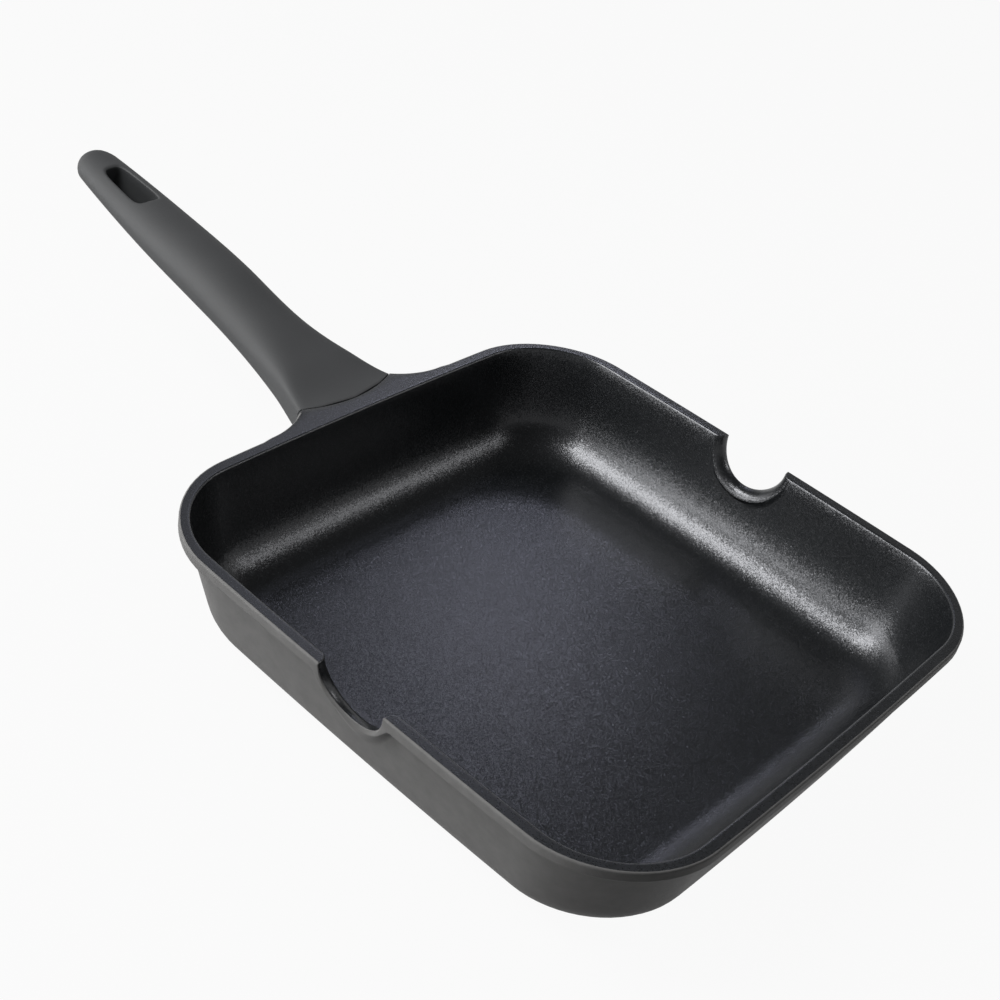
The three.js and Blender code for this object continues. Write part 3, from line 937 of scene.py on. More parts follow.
    def border_lean(self, columns: Array, z: Array) -> Array:
        """Inset of a notch's border at a height: it leans with the wall and fades out beside the notch."""
        return self.near_notch(columns) * (self.height - z) * math.tan(self.outer_draft)

    def wall_and_lip(self, columns: Array) -> Array:
        """Rows of the outer wall, the cove under the lip, the lip's lower edge and its face.

        Below a notch the lip dips to keep its border, and the cove widens into one smooth run.

        Args:
            columns: the columns.

        Returns:
            Points, upwards.
        """
        along, near = columns["along"], self.near_notch(columns)
        border = self.notch_radius + self.notch_border
        bite = held(1.0 - (along / border) ** 2) ** self.notch_bite * columns["notched"]
        lip_z = self.height - np.sqrt(blend(self.lip_height ** 2, border ** 2, bite))
        cove = blend(self.cove_height, self.notch_fairing, near)
        top_z = lip_z - cove
        wall_z = blend(self.fillet_top, top_z, steps(self.wall_rows))
        edge = self.lip_edge * (1.0 - near) + self.least_edge
        out, climb = hollow(steps(self.cove_rows), near)
        cove_inset = blend(self.wall_inset(top_z), edge + self.border_lean(columns, lip_z), out)
        roll = np.radians([40.0, 65.0, 90.0])[:, None]
        edge_z = lip_z + edge * (1.0 - np.cos(roll))
        edge_inset = edge * (1.0 - np.sin(roll)) + self.border_lean(columns, edge_z)
        start = self.rim_strip(columns)[1][0]
        share = steps(self.face_rows)[:-1]
        face_z = blend(lip_z + edge, start[:, 1], share)
        face_along = blend(along, start[:, 0], share)
        return np.concatenate([
            self.outer_points(columns, along, self.wall_inset(wall_z), wall_z),
            self.outer_points(columns, along, cove_inset, top_z + cove * climb),
            self.outer_points(columns, along, edge_inset, edge_z),
            self.outer_points(columns, face_along, self.border_lean(columns, face_z), face_z)])

    def rim_strip(self, columns: Array) -> tuple[Array, Array, Array]:
        """Rows across the rim's top, from the lip's face to the inner wall, along the notch's trough too.

        The outer edge has a small round. The inner edge has a small round on the flat rim and a large one in
        the trough, and the flat's inner corner beside a notch follows that large round in plan.

        Args:
            columns: the columns.

        Returns:
            The points, then each row's place along the side with its height, and the rows' insets.
        """
        outer = self.rim_edge * (1.0 - np.cos(EDGE_TURNS))
        inner = self.rim_face - self.notch_round * (1.0 - np.sin(TROUGH_TURNS))
        level = np.concatenate([outer, [0.5 * (outer[-1] + inner[0])], inner])[:, None]
        edge = blend(self.trough_edge, self.rim_edge, columns["flat"])
        inset = np.where(level <= self.rim_edge, level * edge / self.rim_edge, level)
        fall = edge_drop(-inset, edge, 0.0)
        large = edge_drop(inset, self.notch_round, self.rim_face)
        small = edge_drop(inset, self.rim_edge, self.rim_face) * columns["flat"]
        along = columns["path"] + columns["out_c"] * fall + columns["sway_c"] * large
        z = self.height - columns["drop"] + columns["out_z"] * fall + columns["sway_z"] * large - small
        inner_lean = (self.height - z) * math.tan(self.inner_draft)
        lean = blend(self.border_lean(columns, z), inner_lean, inset / self.rim_face)
        points = self.inner_points(columns, along, inset + lean, z)
        return points, np.stack([along, z], axis=-1), level[:, 0]

    def bowl(self, columns: Array) -> Array:
        """Rows of the inner wall, the round at its foot and the floor.

        The wall leans by its draft and is hollowed by h t (1 - t)^2, with t the share of its height, so that
        it leans more at its foot. In the corners it is hollowed less.

        Args:
            columns: the columns.

        Returns:
            Points, from just under the rim to close to the floor's middle.
        """
        last = self.rim_strip(columns)[1][-1]
        share = steps(self.bowl_rows)
        z = blend(last[:, 1], self.bowl_top, share)
        part = (z - self.bowl_top) / (self.height - self.bowl_top)
        straight = np.cos(2.0 * columns["facing"]) ** 2
        dip = self.wall_hollow * blend(self.corner_hollow, 1.0, straight) * part * (1.0 - part) ** 2
        inset = self.rim_face + (self.height - z) * math.tan(self.inner_draft) - dip
        wall = self.inner_points(columns, blend(last[:, 0], columns["along"], ease(share)), inset, z)
        turn = np.linspace(QUARTER - self.foot_draft, 0.0, num=17)[1:, None]
        inset = self.floor_inset - self.floor_fillet * np.sin(turn)
        z = self.bowl_z - self.floor_fillet * np.cos(turn)
        fillet = self.inner_points(columns, columns["along"], inset, z)
        middle = np.array([0.0, 0.0, self.floor_thickness])
        floor = blend(middle, fillet[-1], np.array([0.85, 0.6, 0.35, 0.15])[:, None, None])
        return np.concatenate([wall, fillet, floor])

    def boss_face(self, columns: Array, z: Array) -> tuple[Array, Array]:
        """x and y of the boss's joint face or hollow flank at a height.

        The joint face is the seam's cylinder. The section's half width falls towards the top by the factor
        (1 - t^p)^(1/p), with t the share of the height above the widest line.

        Args:
            columns: the boss's columns.
            z: heights, one row for each.

        Returns:
            x and y.
        """
        lift = self.height + self.boss_crown - self.seam.middle_z
        narrow = oval((z - self.seam.middle_z) / lift, self.boss_square)
        edge_y = self.seam.half_width * narrow
        face_y = columns["seam"] * edge_y
        flank_x = blend(-self.plan.half_length, self.seam.face_x(edge_y, Half.BOSS), columns["fair"])
        inward = columns["fair"] * self.seam.half_width * (1.0 - narrow)
        flank_y = np.sign(columns["seam"]) * (self.flank(columns["fair"]) - inward)
        on_face = columns["boss"] == Boss.FACE
        x = np.where(on_face, self.seam.face_x(face_y, Half.BOSS), flank_x)
        return x, -np.where(on_face, face_y, flank_y)

    def add_boss(self, columns: Array, outer: Array, strip: Array) -> None:
        """Carry the lip outwards to the boss, in the columns that it covers.

        The underside runs from the wall to the lower edge of the joint face, half of a squared oval, as a
        quarter circle in the middle and a smooth step towards the flanks, and stops just short of that edge.

        Args:
            columns: all the columns.
            outer: points of the wall and lip, changed in place.
            strip: points across the rim, changed in place.
        """
        chosen = columns["boss"] > Boss.NONE
        part = columns[chosen]
        across, root = np.abs(part["seam"]), np.sqrt(part["fair"])
        on_face = part["boss"] == Boss.FACE
        middle = self.seam.middle_z
        low_z = middle - (middle - self.height + self.boss_depth) * oval(across, self.boss_round)
        edge_z = np.where(on_face, low_z, blend(self.height - self.lip_height, middle, root))
        shoulder = middle - self.boss_shoulder
        root_z = blend(middle - self.boss_root, shoulder, across ** 2)
        wall_z = np.where(on_face, root_z, blend(self.wall_top, shoulder, root))
        coves, lips = self.wall_rows, self.wall_rows + self.cove_rows
        z = blend(self.fillet_top, wall_z, steps(self.wall_rows))
        outer[:coves, chosen] = self.outer_points(part, part["along"], self.wall_inset(z), z)
        foot = outer[coves - 1, chosen, :2]
        edge = np.stack(self.boss_face(part, edge_z), axis=-1)
        share = self.boss_tuck * steps(self.cove_rows)
        out, climb = hollow(share, np.where(on_face, across ** 4, part["fair"]))
        outer[coves:lips, chosen, :2] = blend(foot, edge, out[..., None])
        outer[coves:lips, chosen, 2] = blend(wall_z, edge_z, climb)
        radius = self.rim_edge / 2.0
        z = blend(edge_z, self.height - radius, np.linspace(0.0, 1.0, len(outer) - lips + 1)[:-1, None])
        outer[lips:, chosen] = xyz(*self.boss_face(part, z), z)
        brink = np.stack(self.boss_face(part, np.full(len(part), self.height)), axis=-1)
        turn, middle_row = EDGE_TURNS[:, None], len(EDGE_TURNS)
        inner = strip[middle_row + 1, chosen, :2]
        inward = (inner - brink) / np.linalg.norm(inner - brink, axis=-1, keepdims=True)
        strip[:middle_row, chosen, :2] = brink + inward * radius * (1.0 - np.cos(turn[..., None]))
        strip[:middle_row, chosen, 2] = self.height - radius * (1.0 - np.sin(turn))
        strip[middle_row, chosen, :2] = blend(strip[middle_row - 1, chosen, :2], inner, 0.5)
        strip[middle_row, chosen, 2] = self.height

    def add_tang(self, skin: Skin, grid: Array, points: Array, rows: Array, columns: Array) -> Array:
        """Grow the tang out of a block of the joint face.

        Args:
            skin: the mesh under construction.
            grid: vertex numbers of the whole casting.
            points: its points.
            rows: rows of the block.
            columns: columns of the block.

        Returns:
            Mask of the faces that the tang replaces.
        """
        row, column, up, over = window(rows, columns)
        y = points[rows[0], columns, 1]
        side = np.sign(y[-1] - y[0]) * over * self.tang_width / 2.0
        corner, half = self.seam.corner_x, self.tang_thickness / 2.0
        centre, end_z = self.seam.middle_z + self.tang_rise, self.tang_top - half
        slope = (end_z - centre) / self.tang_length
        stations = np.array([0.0, 0.3, 0.6, 0.97, 1.0])[:, None]
        shrink = np.array([1.0, 1.0, 1.0, 1.0, self.tang_tip])[:, None]
        x = blend(self.seam.face_x(side, Half.BOSS), corner - self.tang_length, stations)
        rings = skin.add(xyz(x, side * shrink, centre + slope * (corner - x) + up * half * shrink))
        skin.sheet(np.concatenate([grid[row, column][None], rings]), Zone.OUTSIDE)
        skin.cap(rings[-1], (corner - self.tang_length, 0.0, end_z), Zone.OUTSIDE)
        return block_mask(points, rows, columns)

    def zones(self, columns: Array, row_inset: Array) -> Array:
        """Material slots of the faces: the outside, the rim's top and the coat.

        The rim's dark paint, partly painted shade, also takes the boss's joint face as painted shade in the
        seam's gap, and so the strip of wall and base below that face.

        Args:
            columns: the columns.
            row_inset: inset of each row of faces on the rim's top, below 0 outside.

        Returns:
            One slot for each face.
        """
        edge = self.rim_face - np.where(columns["flat"] < 0.5, self.notch_round, self.coat_edge)
        zone = np.where(row_inset[:, None] >= self.rim_edge - TOUCH, int(Zone.RIM_AND_SHADE), int(Zone.OUTSIDE))
        zone = np.where(row_inset[:, None] >= edge - TOUCH, int(Zone.INSIDE), zone)
        # Painted shade: the joint face, with the wall and base below it, takes the dark rim paint so that
        # the seam's gap reads as shaded.
        return np.where((columns["boss"] == Boss.FACE) & (zone == Zone.OUTSIDE), int(Zone.RIM_AND_SHADE), zone)

    def build(self) -> bpy.types.Object:
        """Make the casting as one closed skin, coated inside and painted outside.

        Returns:
            The casting.
        """
        columns = self.columns()
        base, outer, bowl = self.underside(columns), self.wall_and_lip(columns), self.bowl(columns)
        strip, _, insets = self.rim_strip(columns)
        self.add_boss(columns, outer, strip)
        points = np.concatenate([base, outer, strip, bowl])
        skin = Skin()
        grid = skin.add(points)
        first_lip = len(base) + self.wall_rows + self.cove_rows
        face = np.flatnonzero((columns["boss"] == Boss.FACE) & (np.abs(columns["seam"]) < self.tang_share))
        skip = self.add_tang(skin, grid, points, first_lip + np.arange(*self.tang_rows), face)
        row_inset = np.concatenate([np.full(len(base) + len(outer), -1.0), insets,
                                    np.full(len(bowl) - 1, self.rim_face)])
        skin.sheet(grid, self.zones(columns, row_inset), skip)
        skin.cap(grid[0], (0.0, 0.0, self.plate_depth), Zone.OUTSIDE, first=True)
        skin.cap(grid[-1], (0.0, 0.0, self.floor_thickness), Zone.INSIDE)
        finishes = (self.outside, self.inside, self.rim)
        return skin.build("pan_casting", [finish.material() for finish in finishes])


class Face(IntEnum):
    """Top and underside of the handle, by the direction they face in z."""

    TOP = 1
    UNDER = -1


class HandleZone(IntEnum):
    """Material slots of the handle."""

    SKIN = 0
    # slot walls: darker, duller resin as painted shade
    SLOT_SHADE = 1


TAIL_TURNS = np.radians([10.0, 20.0, 30.0, 40.0, 49.0, 57.0, 64.0, 70.0, 75.0, 79.5, 83.5, 86.5, 89.0])


@dataclass
class Handle:
    """The moulded handle: flared neck, oval grip, thinner tail with a hanging slot, and a screw pocket."""

    seam: Seam
    tail_x: float
    resin: MouldedResin = MouldedResin()
    # Darker, duller resin inside the slot: painted shade for the slot's recess.
    slot_shade: MouldedResin = MouldedResin("slot_shade_resin", level=0.018, gloss=0.06)
    neck_thickness: float = 20.0
    neck_flare: float = 88.0
    neck_square: float = 12.0
    neck_bend: float = 15.0
    neck_edge: float = 0.4
    flare_power: float = 2.6
    square_fade: float = 1.6
    grip_start: float = 39.0
    grip_end: float = 145.0
    grip_width: float = 36.2
    grip_thickness: float = 22.6
    section_power: float = 2.6
    top_power: float = 2.05
    tail_width: float = 22.9
    tail_thickness: float = 12.2
    tail_taper: float = 118.0
    width_taper: float = 2.0
    thickness_taper: float = 1.5
    tail_round: float = 10.0
    tail_power: float = 2.2
    slot_bridge: float = 20.0
    slot_length: float = 32.0
    slot_front: float = 15.0
    slot_tail: float = 11.4
    slot_power: float = 4.5
    slot_draw: float = 0.7
    slot_edge: float = 1.8
    slot_margin: float = 4.0
    socket_length: float = 42.8
    socket_width: float = 22.6
    socket_height: float = 8.6
    socket_rise: float = 2.0
    socket_slope: float = 0.184
    screw_station: float = 26.0
    pocket_radius: float = 5.8
    pocket_edge: float = 0.5
    pocket_margin: float = 2.7
    hole_radius: float = 2.8
    hole_margin: float = 1.4
    seat_z: float = 47.88
    columns: int = 96
    slot_columns: int = 10
    pocket_columns: int = 5
    line_s: tuple[float, ...] = (0.0, 25.0, 80.0, 142.5, 205.0)
    line_z: tuple[float, ...] = (0.0, 4.6, 17.2, 28.5, 39.7)
    line_slope: tuple[float, ...] = (0.02, 0.19, 0.235, 0.176, 0.176)

    def __post_init__(self) -> None:
        """Work out the length from the joint's corner to the tail."""
        self.length = self.seam.corner_x - self.tail_x

    def middle(self, s: Array) -> Array:
        """Height of the middle line: cubic pieces through named points with named slopes.

        Args:
            s: stations, from the joint's corner towards the tail.

        Returns:
            The heights.
        """
        knots, heights, slopes = (np.array(values) for values in (self.line_s, self.line_z, self.line_slope))
        near = np.clip(s, 0.0, knots[-1])
        piece = np.clip(np.searchsorted(knots, near) - 1, 0, len(knots) - 2)
        span = knots[piece + 1] - knots[piece]
        t = (near - knots[piece]) / span
        rise = heights[piece + 1] - heights[piece]
        start, end = slopes[piece] * span, slopes[piece + 1] * span
        cubic = t * start + t ** 2 * (3.0 * rise - 2.0 * start - end) + t ** 3 * (start + end - 2.0 * rise)
        return self.seam.middle_z + heights[piece] + cubic

    def tail_share(self, s: Array, length: float) -> Array:
        """Share of the size left in the rounded end: (1 - t^p)^(1/p) over its last length."""
        return oval((s - (self.length - length)) / length, self.tail_power)

    def section(self, s: Array) -> tuple[Array, Array, Array]:
        """Section at a station: the flare falls off as (1 - t)^p, and the tail tapers as a power of t.

        Args:
            s: stations.

        Returns:
            Half width, half thickness and squareness of the top.
        """
        grip = held(s / self.neck_flare)
        flare = (1.0 - grip) ** self.flare_power
        taper = held((s - (self.length - self.tail_taper)) / self.tail_taper)
        width = blend(self.grip_width, self.tail_width, taper ** self.width_taper) / 2.0
        width = width + (self.seam.half_width - self.grip_width / 2.0) * flare
        thick = blend(self.neck_thickness, self.grip_thickness, grip)
        thick = thick - (self.grip_thickness - self.tail_thickness) * taper ** self.thickness_taper
        thick = thick / 2.0 * self.tail_share(s, self.tail_round / 2.0)
        square = blend(self.top_power, self.neck_square, flare ** self.square_fade)
        return width * self.tail_share(s, self.tail_round), thick, square

    def at(self, s: Array, y: Array, z: Array) -> Array:
        """Points at stations."""
        return xyz(self.seam.corner_x - s, y, z)

    def on_skin(self, s: Array, y: Array, face: Face, sink: Array = 0.0) -> Array:
        """Points of the top or underside: the middle line plus or less t (1 - |y / w|^p)^(1/p).

        Args:
            s: stations.
            y: places across.
            face: top or underside.
            sink: depth below the surface.

        Returns:
            The points.
        """
        width, thick, square = self.section(s)
        power = square if face is Face.TOP else self.section_power
        return self.at(s, y, self.middle(s) + face * (thick * oval(np.abs(y) / width, power) - sink))

    def stations(self) -> tuple[Array, Array, Array]:
        """Stations of the rings, closer together where the shape turns faster.

        Returns:
            The stations, and the rows of the blocks round the screw pocket and the slot.
        """
        neck = np.array([0.0, self.neck_edge, 1.5, 4.0, 7.0, 10.5, 14.0])
        reach = self.pocket_radius + self.pocket_margin
        pocket = np.linspace(self.screw_station - reach, self.screw_station + reach, num=9)
        grip = np.linspace(self.grip_start, self.grip_end, num=24)
        slot_end = self.length - self.slot_bridge + self.slot_margin
        slot = np.linspace(slot_end - self.slot_length - 2.0 * self.slot_margin, slot_end, num=17)
        tail = self.length - self.tail_round * (1.0 - np.sin(TAIL_TURNS))
        pocket_rows = len(neck) + np.arange(len(pocket))
        slot_rows = len(neck) + len(pocket) + len(grip) + np.arange(len(slot))
        return np.concatenate([neck, pocket, grip, slot, tail]), pocket_rows, slot_rows

    def shell(self, s: Array) -> Array:
        """Points of the outer skin, one ring to a station, the first rings bent onto the joint face.

        A ring is a squared oval: y = w cos^(2/p), z = t sin^(2/p), with the power p of its top or underside.

        Args:
            s: stations.

        Returns:
            Points of the rings.
        """
        cos, sin = round_angles(self.columns)
        upper = sin > TOUCH
        power = np.where(upper, self.neck_square, self.section_power)
        front_y = self.seam.half_width * np.sign(cos) * np.abs(cos) ** (2.0 / power)
        bend = self.seam.corner_x - self.seam.face_x(front_y, Half.HANDLE)
        station = s[:, None] + bend * (1.0 - ease(s / self.neck_bend))[:, None]
        width, thick, square = self.section(station)
        power = np.where(upper, square, self.section_power)
        shrink = np.where(s == 0.0, 1.0 - self.neck_edge / self.neck_thickness, 1.0)[:, None]
        y = width * np.sign(cos) * np.abs(cos) ** (2.0 / power) * shrink
        z = thick * np.sign(sin) * np.abs(sin) ** (2.0 / power) * shrink
        return self.at(station, y, self.middle(station) + z)

    def socket_z(self, s: Array) -> Array:
        """Height of the middle of the tang's socket at a station."""
        return self.seam.middle_z + self.socket_rise + self.socket_slope * s

    def socket(self, front: Array) -> tuple[Array, Array]:
        """Points of the socket for the tang, a sloped box, and of the joint face round its mouth.

        Args:
            front: the outer skin's first ring.

        Returns:
            Rings from the socket's end to the joint face, and the rows of the block round the screw hole.
        """
        cos, sin = round_angles(self.columns)
        square = np.maximum(np.abs(cos), np.abs(sin))
        y, rise = self.socket_width / 2.0 * cos / square, self.socket_height / 2.0 * sin / square
        reach = self.hole_radius + self.hole_margin
        hole = np.linspace(self.screw_station + reach, self.screw_station - reach, num=9)
        s = np.concatenate([[self.socket_length, 36.0], hole, [14.0, 6.0]])[:, None]
        mouth_x = self.seam.face_x(y, Half.HANDLE)
        mouth = xyz(mouth_x, y, self.socket_z(self.seam.corner_x - mouth_x) + rise)
        rings = blend(mouth, front, np.array([0.0, 0.3, 0.6, 0.85])[:, None, None])
        rings[..., 0] = self.seam.face_x(rings[..., 1], Half.HANDLE)
        return np.concatenate([self.at(s, y, self.socket_z(s) + rise), rings]), 2 + np.arange(len(hole))

    def slot_outline(self, bearing: Array, grow: Array, draw: float) -> tuple[Array, Array]:
        """Outline of the slot: a squared oval, r = (|cos|^p + |sin|^p)^(-1/p), its width changing along it.

        Args:
            bearing: direction of each point from the slot's middle.
            grow: growth all round.
            draw: share of the width that is left.

        Returns:
            Station and y of the points.
        """
        cos, sin, power = np.cos(bearing), np.sin(bearing), self.slot_power
        ray = (np.abs(cos) ** power + np.abs(sin) ** power) ** (-1.0 / power)
        along = (self.slot_length / 2.0 + grow) * ray * cos
        half = blend(self.slot_front, self.slot_tail, along / self.slot_length + 0.5) / 2.0 * draw + grow
        return self.length - self.slot_bridge - self.slot_length / 2.0 + along, half * ray * sin

    def add_slot(self, skin: Skin, grid: Array, points: Array, rows: Array) -> Array:
        """Cut the hanging slot through, with rounded edges.

        Args:
            skin: the mesh under construction.
            grid: vertex numbers of the handle.
            points: its points.
            rows: rows of the blocks at the top and at the underside.

        Returns:
            Mask of the faces that the slot replaces.
        """
        top = self.columns // 4 + np.arange(-self.slot_columns, self.slot_columns + 1)
        under = top[::-1] + self.columns // 2
        row, column, far, side = window(rows, top)
        low_row, low_column, _, _ = window(rows, under)
        bearing = np.arctan2(-side, far)
        share = np.array([0.35, 0.7])[:, None]
        roll = np.linspace(0.0, QUARTER, num=7)[:, None]
        patches = []
        for face, border, draw in ((Face.TOP, points[row, column], 1.0),
                                   (Face.UNDER, points[low_row, low_column], self.slot_draw)):
            s, y = self.slot_outline(bearing, self.slot_edge, draw)
            s, y = blend(self.seam.corner_x - border[:, 0], s, share), blend(border[:, 1], y, share)
            flat = self.on_skin(s, y, face)
            s, y = self.slot_outline(bearing, self.slot_edge * (1.0 - np.sin(roll)), draw)
            edge = self.on_skin(s, y, face, self.slot_edge * (1.0 - np.cos(roll)))
            patches.append(np.concatenate([flat, edge]))
        upper, lower = patches
        tunnel = blend(upper[-1], lower[-1], np.array([0.3, 0.7])[:, None, None])
        numbers = skin.add(np.concatenate([upper, tunnel, lower[::-1]]))
        sheet = np.concatenate([grid[row, column][None], numbers, grid[low_row, low_column][None]])
        zone = np.full((len(sheet) - 1, 1), int(HandleZone.SKIN))
        # The slot's inner walls take the darker resin as painted shade.
        zone[len(upper) - 2:len(sheet) - len(lower)] = HandleZone.SLOT_SHADE
        skin.sheet(sheet, zone)
        return block_mask(points, rows, top) | block_mask(points, rows, under)

    def add_pocket(self, skin: Skin, grid: Array, points: Array, rows: Array, hole_rows: Array) -> Array:
        """Sink the screw's pocket from the underside, with a narrower hole on into the socket.

        Args:
            skin: the mesh under construction.
            grid: vertex numbers of the handle.
            points: its points.
            rows: rows of the block of the underside.
            hole_rows: rows of the block of the socket's lower wall.

        Returns:
            Mask of the faces that the pocket replaces.
        """
        block = 3 * self.columns // 4 + np.arange(-self.pocket_columns, self.pocket_columns + 1)
        row, column, far, side = window(rows, block)
        hole_row, hole_column, _, _ = window(hole_rows[::-1], block)
        cos, sin = np.stack([far, side]) / np.hypot(far, side)
        edge = self.pocket_edge
        sink = np.array([[0.0], [0.3 * edge], [edge]])
        radius = self.pocket_radius + np.array([[edge], [0.3 * edge], [0.0]])
        mouth = self.on_skin(self.screw_station + radius * cos, radius * sin, Face.UNDER, sink)
        radius = np.array([[self.pocket_radius], [self.hole_radius], [self.hole_radius]])
        s = self.screw_station + radius * cos
        z = np.full_like(s, self.seat_z)
        z[-1] = self.socket_z(s[-1]) - self.socket_height / 2.0
        numbers = skin.add(np.concatenate([mouth, self.at(s, radius * sin, z)]))
        skin.sheet(np.concatenate([grid[row, column][None], numbers, grid[hole_row, hole_column][None]]))
        return block_mask(points, rows, block) | block_mask(points, hole_rows, block)

    def build(self) -> bpy.types.Object:
        """Make the handle as one closed skin, with a darker, duller resin inside the slot as painted shade.

        Returns:
            The handle.
        """
        s, pocket_rows, slot_rows = self.stations()
        shell = self.shell(s)
        socket, hole_rows = self.socket(shell[0])
        points = np.concatenate([socket, shell])
        skin = Skin()
        grid = skin.add(points)
        skip = self.add_slot(skin, grid, points, len(socket) + slot_rows)
        skip |= self.add_pocket(skin, grid, points, len(socket) + pocket_rows, hole_rows)
        skin.sheet(grid, HandleZone.SKIN, skip)
        ends = ((0, self.socket_length, self.socket_z), (-1, self.length, self.middle))
        for ring, station, height in ends:
            skin.cap(grid[ring], self.at(station, 0.0, height(station)), first=ring == 0)
        return skin.build("moulded_handle", [self.resin.material(), self.slot_shade.material()])


@dataclass
class BaseDisc:
    """The steel disc let into the underside, turned with shallow rings."""

    radius: float
    thickness: float
    steel: TurnedSteel = TurnedSteel()
    hub: float = 2.0
    chamfer: float = 0.35
    ring_pitch: float = 8.0
    ring_width: float = 1.6
    ring_depth: float = 0.18
    columns: int = 160

    def build(self) -> bpy.types.Object:
        """Make the disc as a profile turned about the upright axis.

        The underside is flat, with a shallow hollow, a half wave of a cosine, at each pitch.

        Returns:
            The disc.
        """
        count = int((self.radius - self.ring_width) // self.ring_pitch)
        places = np.linspace(-0.5, 0.5, num=5)
        groove_r = (self.ring_pitch * np.arange(1, count + 1)[:, None] + places * self.ring_width).ravel()
        groove_z = np.tile(self.ring_depth * np.cos(places * math.pi), count)
        top, inner = self.thickness, self.radius - self.chamfer
        edge_r = [inner, self.radius, self.radius, inner, self.radius / 2.0, self.hub]
        edge_z = [0.0, self.chamfer, top - self.chamfer, top, top, top]
        r = np.concatenate([[self.hub], groove_r, edge_r])[:, None]
        z = np.concatenate([[0.0], groove_z, edge_z])[:, None]
        cos, sin = round_angles(self.columns)
        skin = Skin()
        grid = skin.add(xyz(r * cos, r * sin, z))
        skin.sheet(grid)
        skin.cap(grid[0], (0.0, 0.0, 0.0), first=True)
        skin.cap(grid[-1], (0.0, 0.0, top))
        return skin.build("base_disc", [self.steel.material()])


@dataclass
class Fasteners:
    """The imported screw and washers, which keep their shapes and get their steels."""

    plated: PlatedSteel = PlatedSteel("plated_steel", 0.62)
    sprung: PlatedSteel = PlatedSteel("spring_steel", 0.3, 0.38)

    def dress(self) -> list[bpy.types.Object]:
        """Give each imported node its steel.

        Returns:
            The nodes.
        """
        plated, sprung = self.plated.material(), self.sprung.material()
        steels = {"handle_screw": plated, "flat_washer": plated, "spring_washer": sprung}
        for name, steel in steels.items():
            slots = frame["nodes"][name].data.materials
            slots.clear()
            slots.append(steel)
        return [frame["nodes"][name] for name in steels]


@dataclass
class Lamp:
    """A soft rectangular lamp that looks at a point."""

    name: str
    towards: Triple
    distance: float
    size: tuple[float, float]
    radiance: float
    colour: Triple = (1.0, 1.0, 1.0)
    spread: float = math.pi
    target: Triple = (-0.02, 0.0, 0.03)

    def light(self) -> None:
        """Place the lamp.

        Its power is pi r A (1 - h / tan h), with r its radiance, A its area and h half of its spread.
        """
        data = bpy.data.lights.new(self.name, "AREA")
        data.shape = "RECTANGLE"
        data.size, data.size_y = self.size
        data.color = self.colour
        data.spread = self.spread
        half = self.spread / 2.0
        data.energy = math.pi * self.radiance * self.size[0] * self.size[1] * (1.0 - half / math.tan(half))
        lamp = add_object(self.name, data)
        direction = Vector(self.towards).normalized()
        lamp.location = Vector(self.target) + direction * self.distance
        lamp.rotation_euler = direction.to_track_quat("Z", "Y").to_euler()
        lamp.visible_camera = False


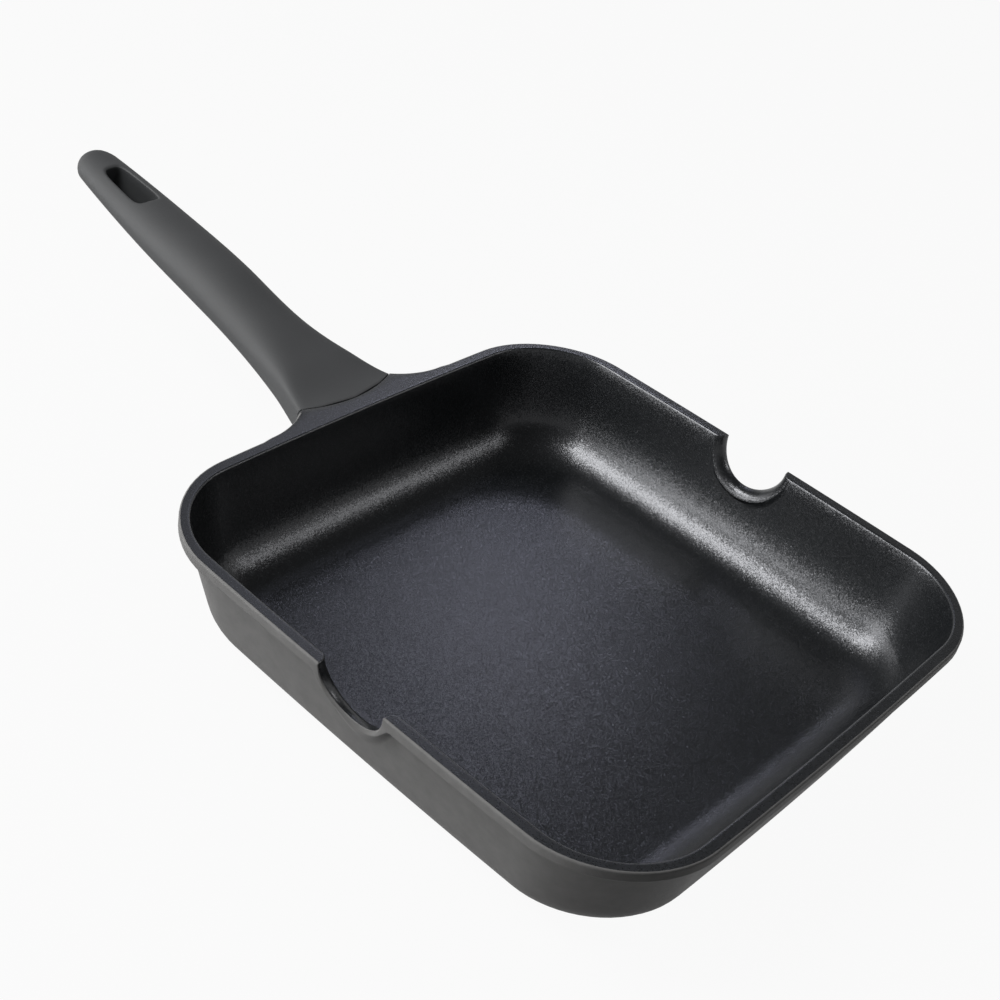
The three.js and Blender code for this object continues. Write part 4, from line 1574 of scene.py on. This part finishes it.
@dataclass
class Studio:
    """Pale floor, soft lamps, white surroundings and the camera at the photograph's viewing angle."""

    azimuth: float = math.radians(35.922)
    elevation: float = math.radians(36.508)
    roll: float = math.radians(11.96)
    sensor: float = 36.0
    lens: float = 56.84
    distance: float = 0.70243
    target: Triple = (-0.04812, 0.00002, 0.05755)
    floor_half: float = 6.0
    floor_drop: float = 0.0001
    floor_level: float = 0.17
    floor_glow: float = 0.94
    surround: float = 0.15
    walls_end: float = 0.2
    ceiling_start: float = 0.55
    ceiling: float = 0.12
    lamps: tuple[Lamp, ...] = (
        Lamp("key_box", (-0.46, -0.49, 0.745), 1.3, (0.42, 0.74), 27.0),
        Lamp("front_box", (-0.50, -0.84, 0.20), 1.4, (0.7, 0.56), 12.0),
        Lamp("side_box", (-0.82, -0.54, 0.20), 1.5, (1.5, 0.9), 2.5),
        Lamp("rear_box", (0.54, 0.60, 0.59), 1.3, (0.32, 0.32), 9.0),
        Lamp("fill_box", (-0.52, 0.55, 0.65), 1.5, (0.5, 0.5), 1.1, (0.8, 0.82, 1.0)),
        Lamp("back_spot", (-0.45, 0.60, 0.62), 1.5, (0.16, 0.16), 21.0, (0.8, 0.82, 1.0),
             spread=math.radians(13.0), target=(0.005, 0.005, 0.005)),
    )

    def seen(self, make: Graph) -> Socket:
        """Tell the rays that look from the rays that light.

        Args:
            make: the node tree.

        Returns:
            1 for rays from the camera and for mirrored and passing rays, and 0 for the rest.
        """
        path = make.node("LightPath").outputs
        looked = make.work(path["Is Camera Ray"], path["Is Glossy Ray"], Work.MAXIMUM)
        return make.work(looked, path["Is Transmission Ray"], Work.MAXIMUM)

    def add_floor(self) -> None:
        """Lay the floor: matt and pale, and partly glowing white where it is looked at."""
        reach = self.floor_half
        mesh = bpy.data.meshes.new("floor")
        corners = [(-reach, -reach), (reach, -reach), (reach, reach), (-reach, reach)]
        mesh.from_pydata([(x, y, -self.floor_drop) for x, y in corners], [], [(0, 1, 2, 3)])
        floor = add_object("floor", mesh)
        material = bpy.data.materials.new("pale_floor")
        material.use_nodes = True
        material.node_tree.nodes.clear()
        make = Graph(material.node_tree)
        matt = make.node("BsdfDiffuse", Color=grey(self.floor_level)).outputs[0]
        glow = make.node("Emission").outputs[0]
        share = make.work(self.seen(make), self.floor_glow, Work.MULTIPLY)
        mix = make.node("MixShader", i0=share, i1=matt, i2=glow).outputs[0]
        make.node("OutputMaterial", Surface=mix)
        mesh.materials.append(material)

    def add_world(self) -> None:
        """Surround the scene: white walls under a dark ceiling to look at, and softer white to be lit by."""
        world = bpy.data.worlds.new("surroundings")
        world.use_nodes = True
        make = Graph(world.node_tree)
        split = make.node("SeparateXYZ", i0=make.node("TexCoord").outputs["Generated"])
        room = make.map(split.outputs["Z"], self.walls_end, self.ceiling_start, 1.0, self.ceiling)
        strength = make.map(self.seen(make), 0.0, 1.0, self.surround, room)
        make.fill(world.node_tree.nodes["Background"], {"Color": WHITE, "Strength": strength})
        bpy.context.scene.world = world

    def add_camera(self) -> None:
        """Place the camera on the line of sight that the azimuth and elevation give, rolled about it."""
        turn, tilt = self.azimuth, self.elevation
        back = Vector((math.sin(turn) * math.cos(tilt), -math.cos(turn) * math.cos(tilt), math.sin(tilt)))
        right = Vector((math.cos(turn), math.sin(turn), 0.0))
        up = back.cross(right)
        across = right * math.cos(self.roll) + up * math.sin(self.roll)
        above = up * math.cos(self.roll) - right * math.sin(self.roll)
        data = bpy.data.cameras.new("camera")
        data.sensor_width, data.lens = self.sensor, self.lens
        camera = add_object("camera", data)
        place = Vector(self.target) + back * self.distance
        axes = Matrix((across, above, back)).transposed().to_4x4()
        camera.matrix_world = Matrix.Translation(place) @ axes
        bpy.context.scene.camera = camera

    def build(self) -> None:
        """Set the scene up round the object."""
        bpy.context.scene.view_settings.view_transform = "Standard"
        self.add_floor()
        self.add_world()
        self.add_camera()
        for lamp in self.lamps:
            lamp.light()


def enter(piece: bpy.types.Object, node: str) -> None:
    """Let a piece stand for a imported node.

    Args:
        piece: the new piece.
        node: the node that it replaces.
    """
    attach(piece, "root")
    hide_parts(node)
    log.info("%s stands for %s: %d faces", piece.name, node, len(piece.data.polygons))


def main() -> None:
    """Build the pieces in order, dress them and set the studio up round them."""
    logging.basicConfig(level=logging.INFO, format="%(name)s: %(message)s")
    body_low, body_high = node_box("pan_body")
    handle_low, _ = node_box("handle")
    _, plate_high = node_box("induction_plate")
    disc_radius, _, disc_thickness = plate_high
    seam = Seam(corner_x=body_low[0] + Casting.tang_length)
    plan = Plan(half_length=body_high[0], half_width=body_high[1])
    casting = Casting(plan, seam, mount_height("rim_face"), disc_radius + PLATE_CLEARANCE,
                      disc_thickness + PLATE_CLEARANCE, body_high[2])
    enter(casting.build(), "pan_body")
    enter(Handle(seam, handle_low[0]).build(), "handle")
    enter(BaseDisc(disc_radius, disc_thickness).build(), "induction_plate")
    for node in Fasteners().dress():
        log.info("%s keeps its packed shape", node.name)
    Studio().build()


if __name__ == "__main__":
    main()
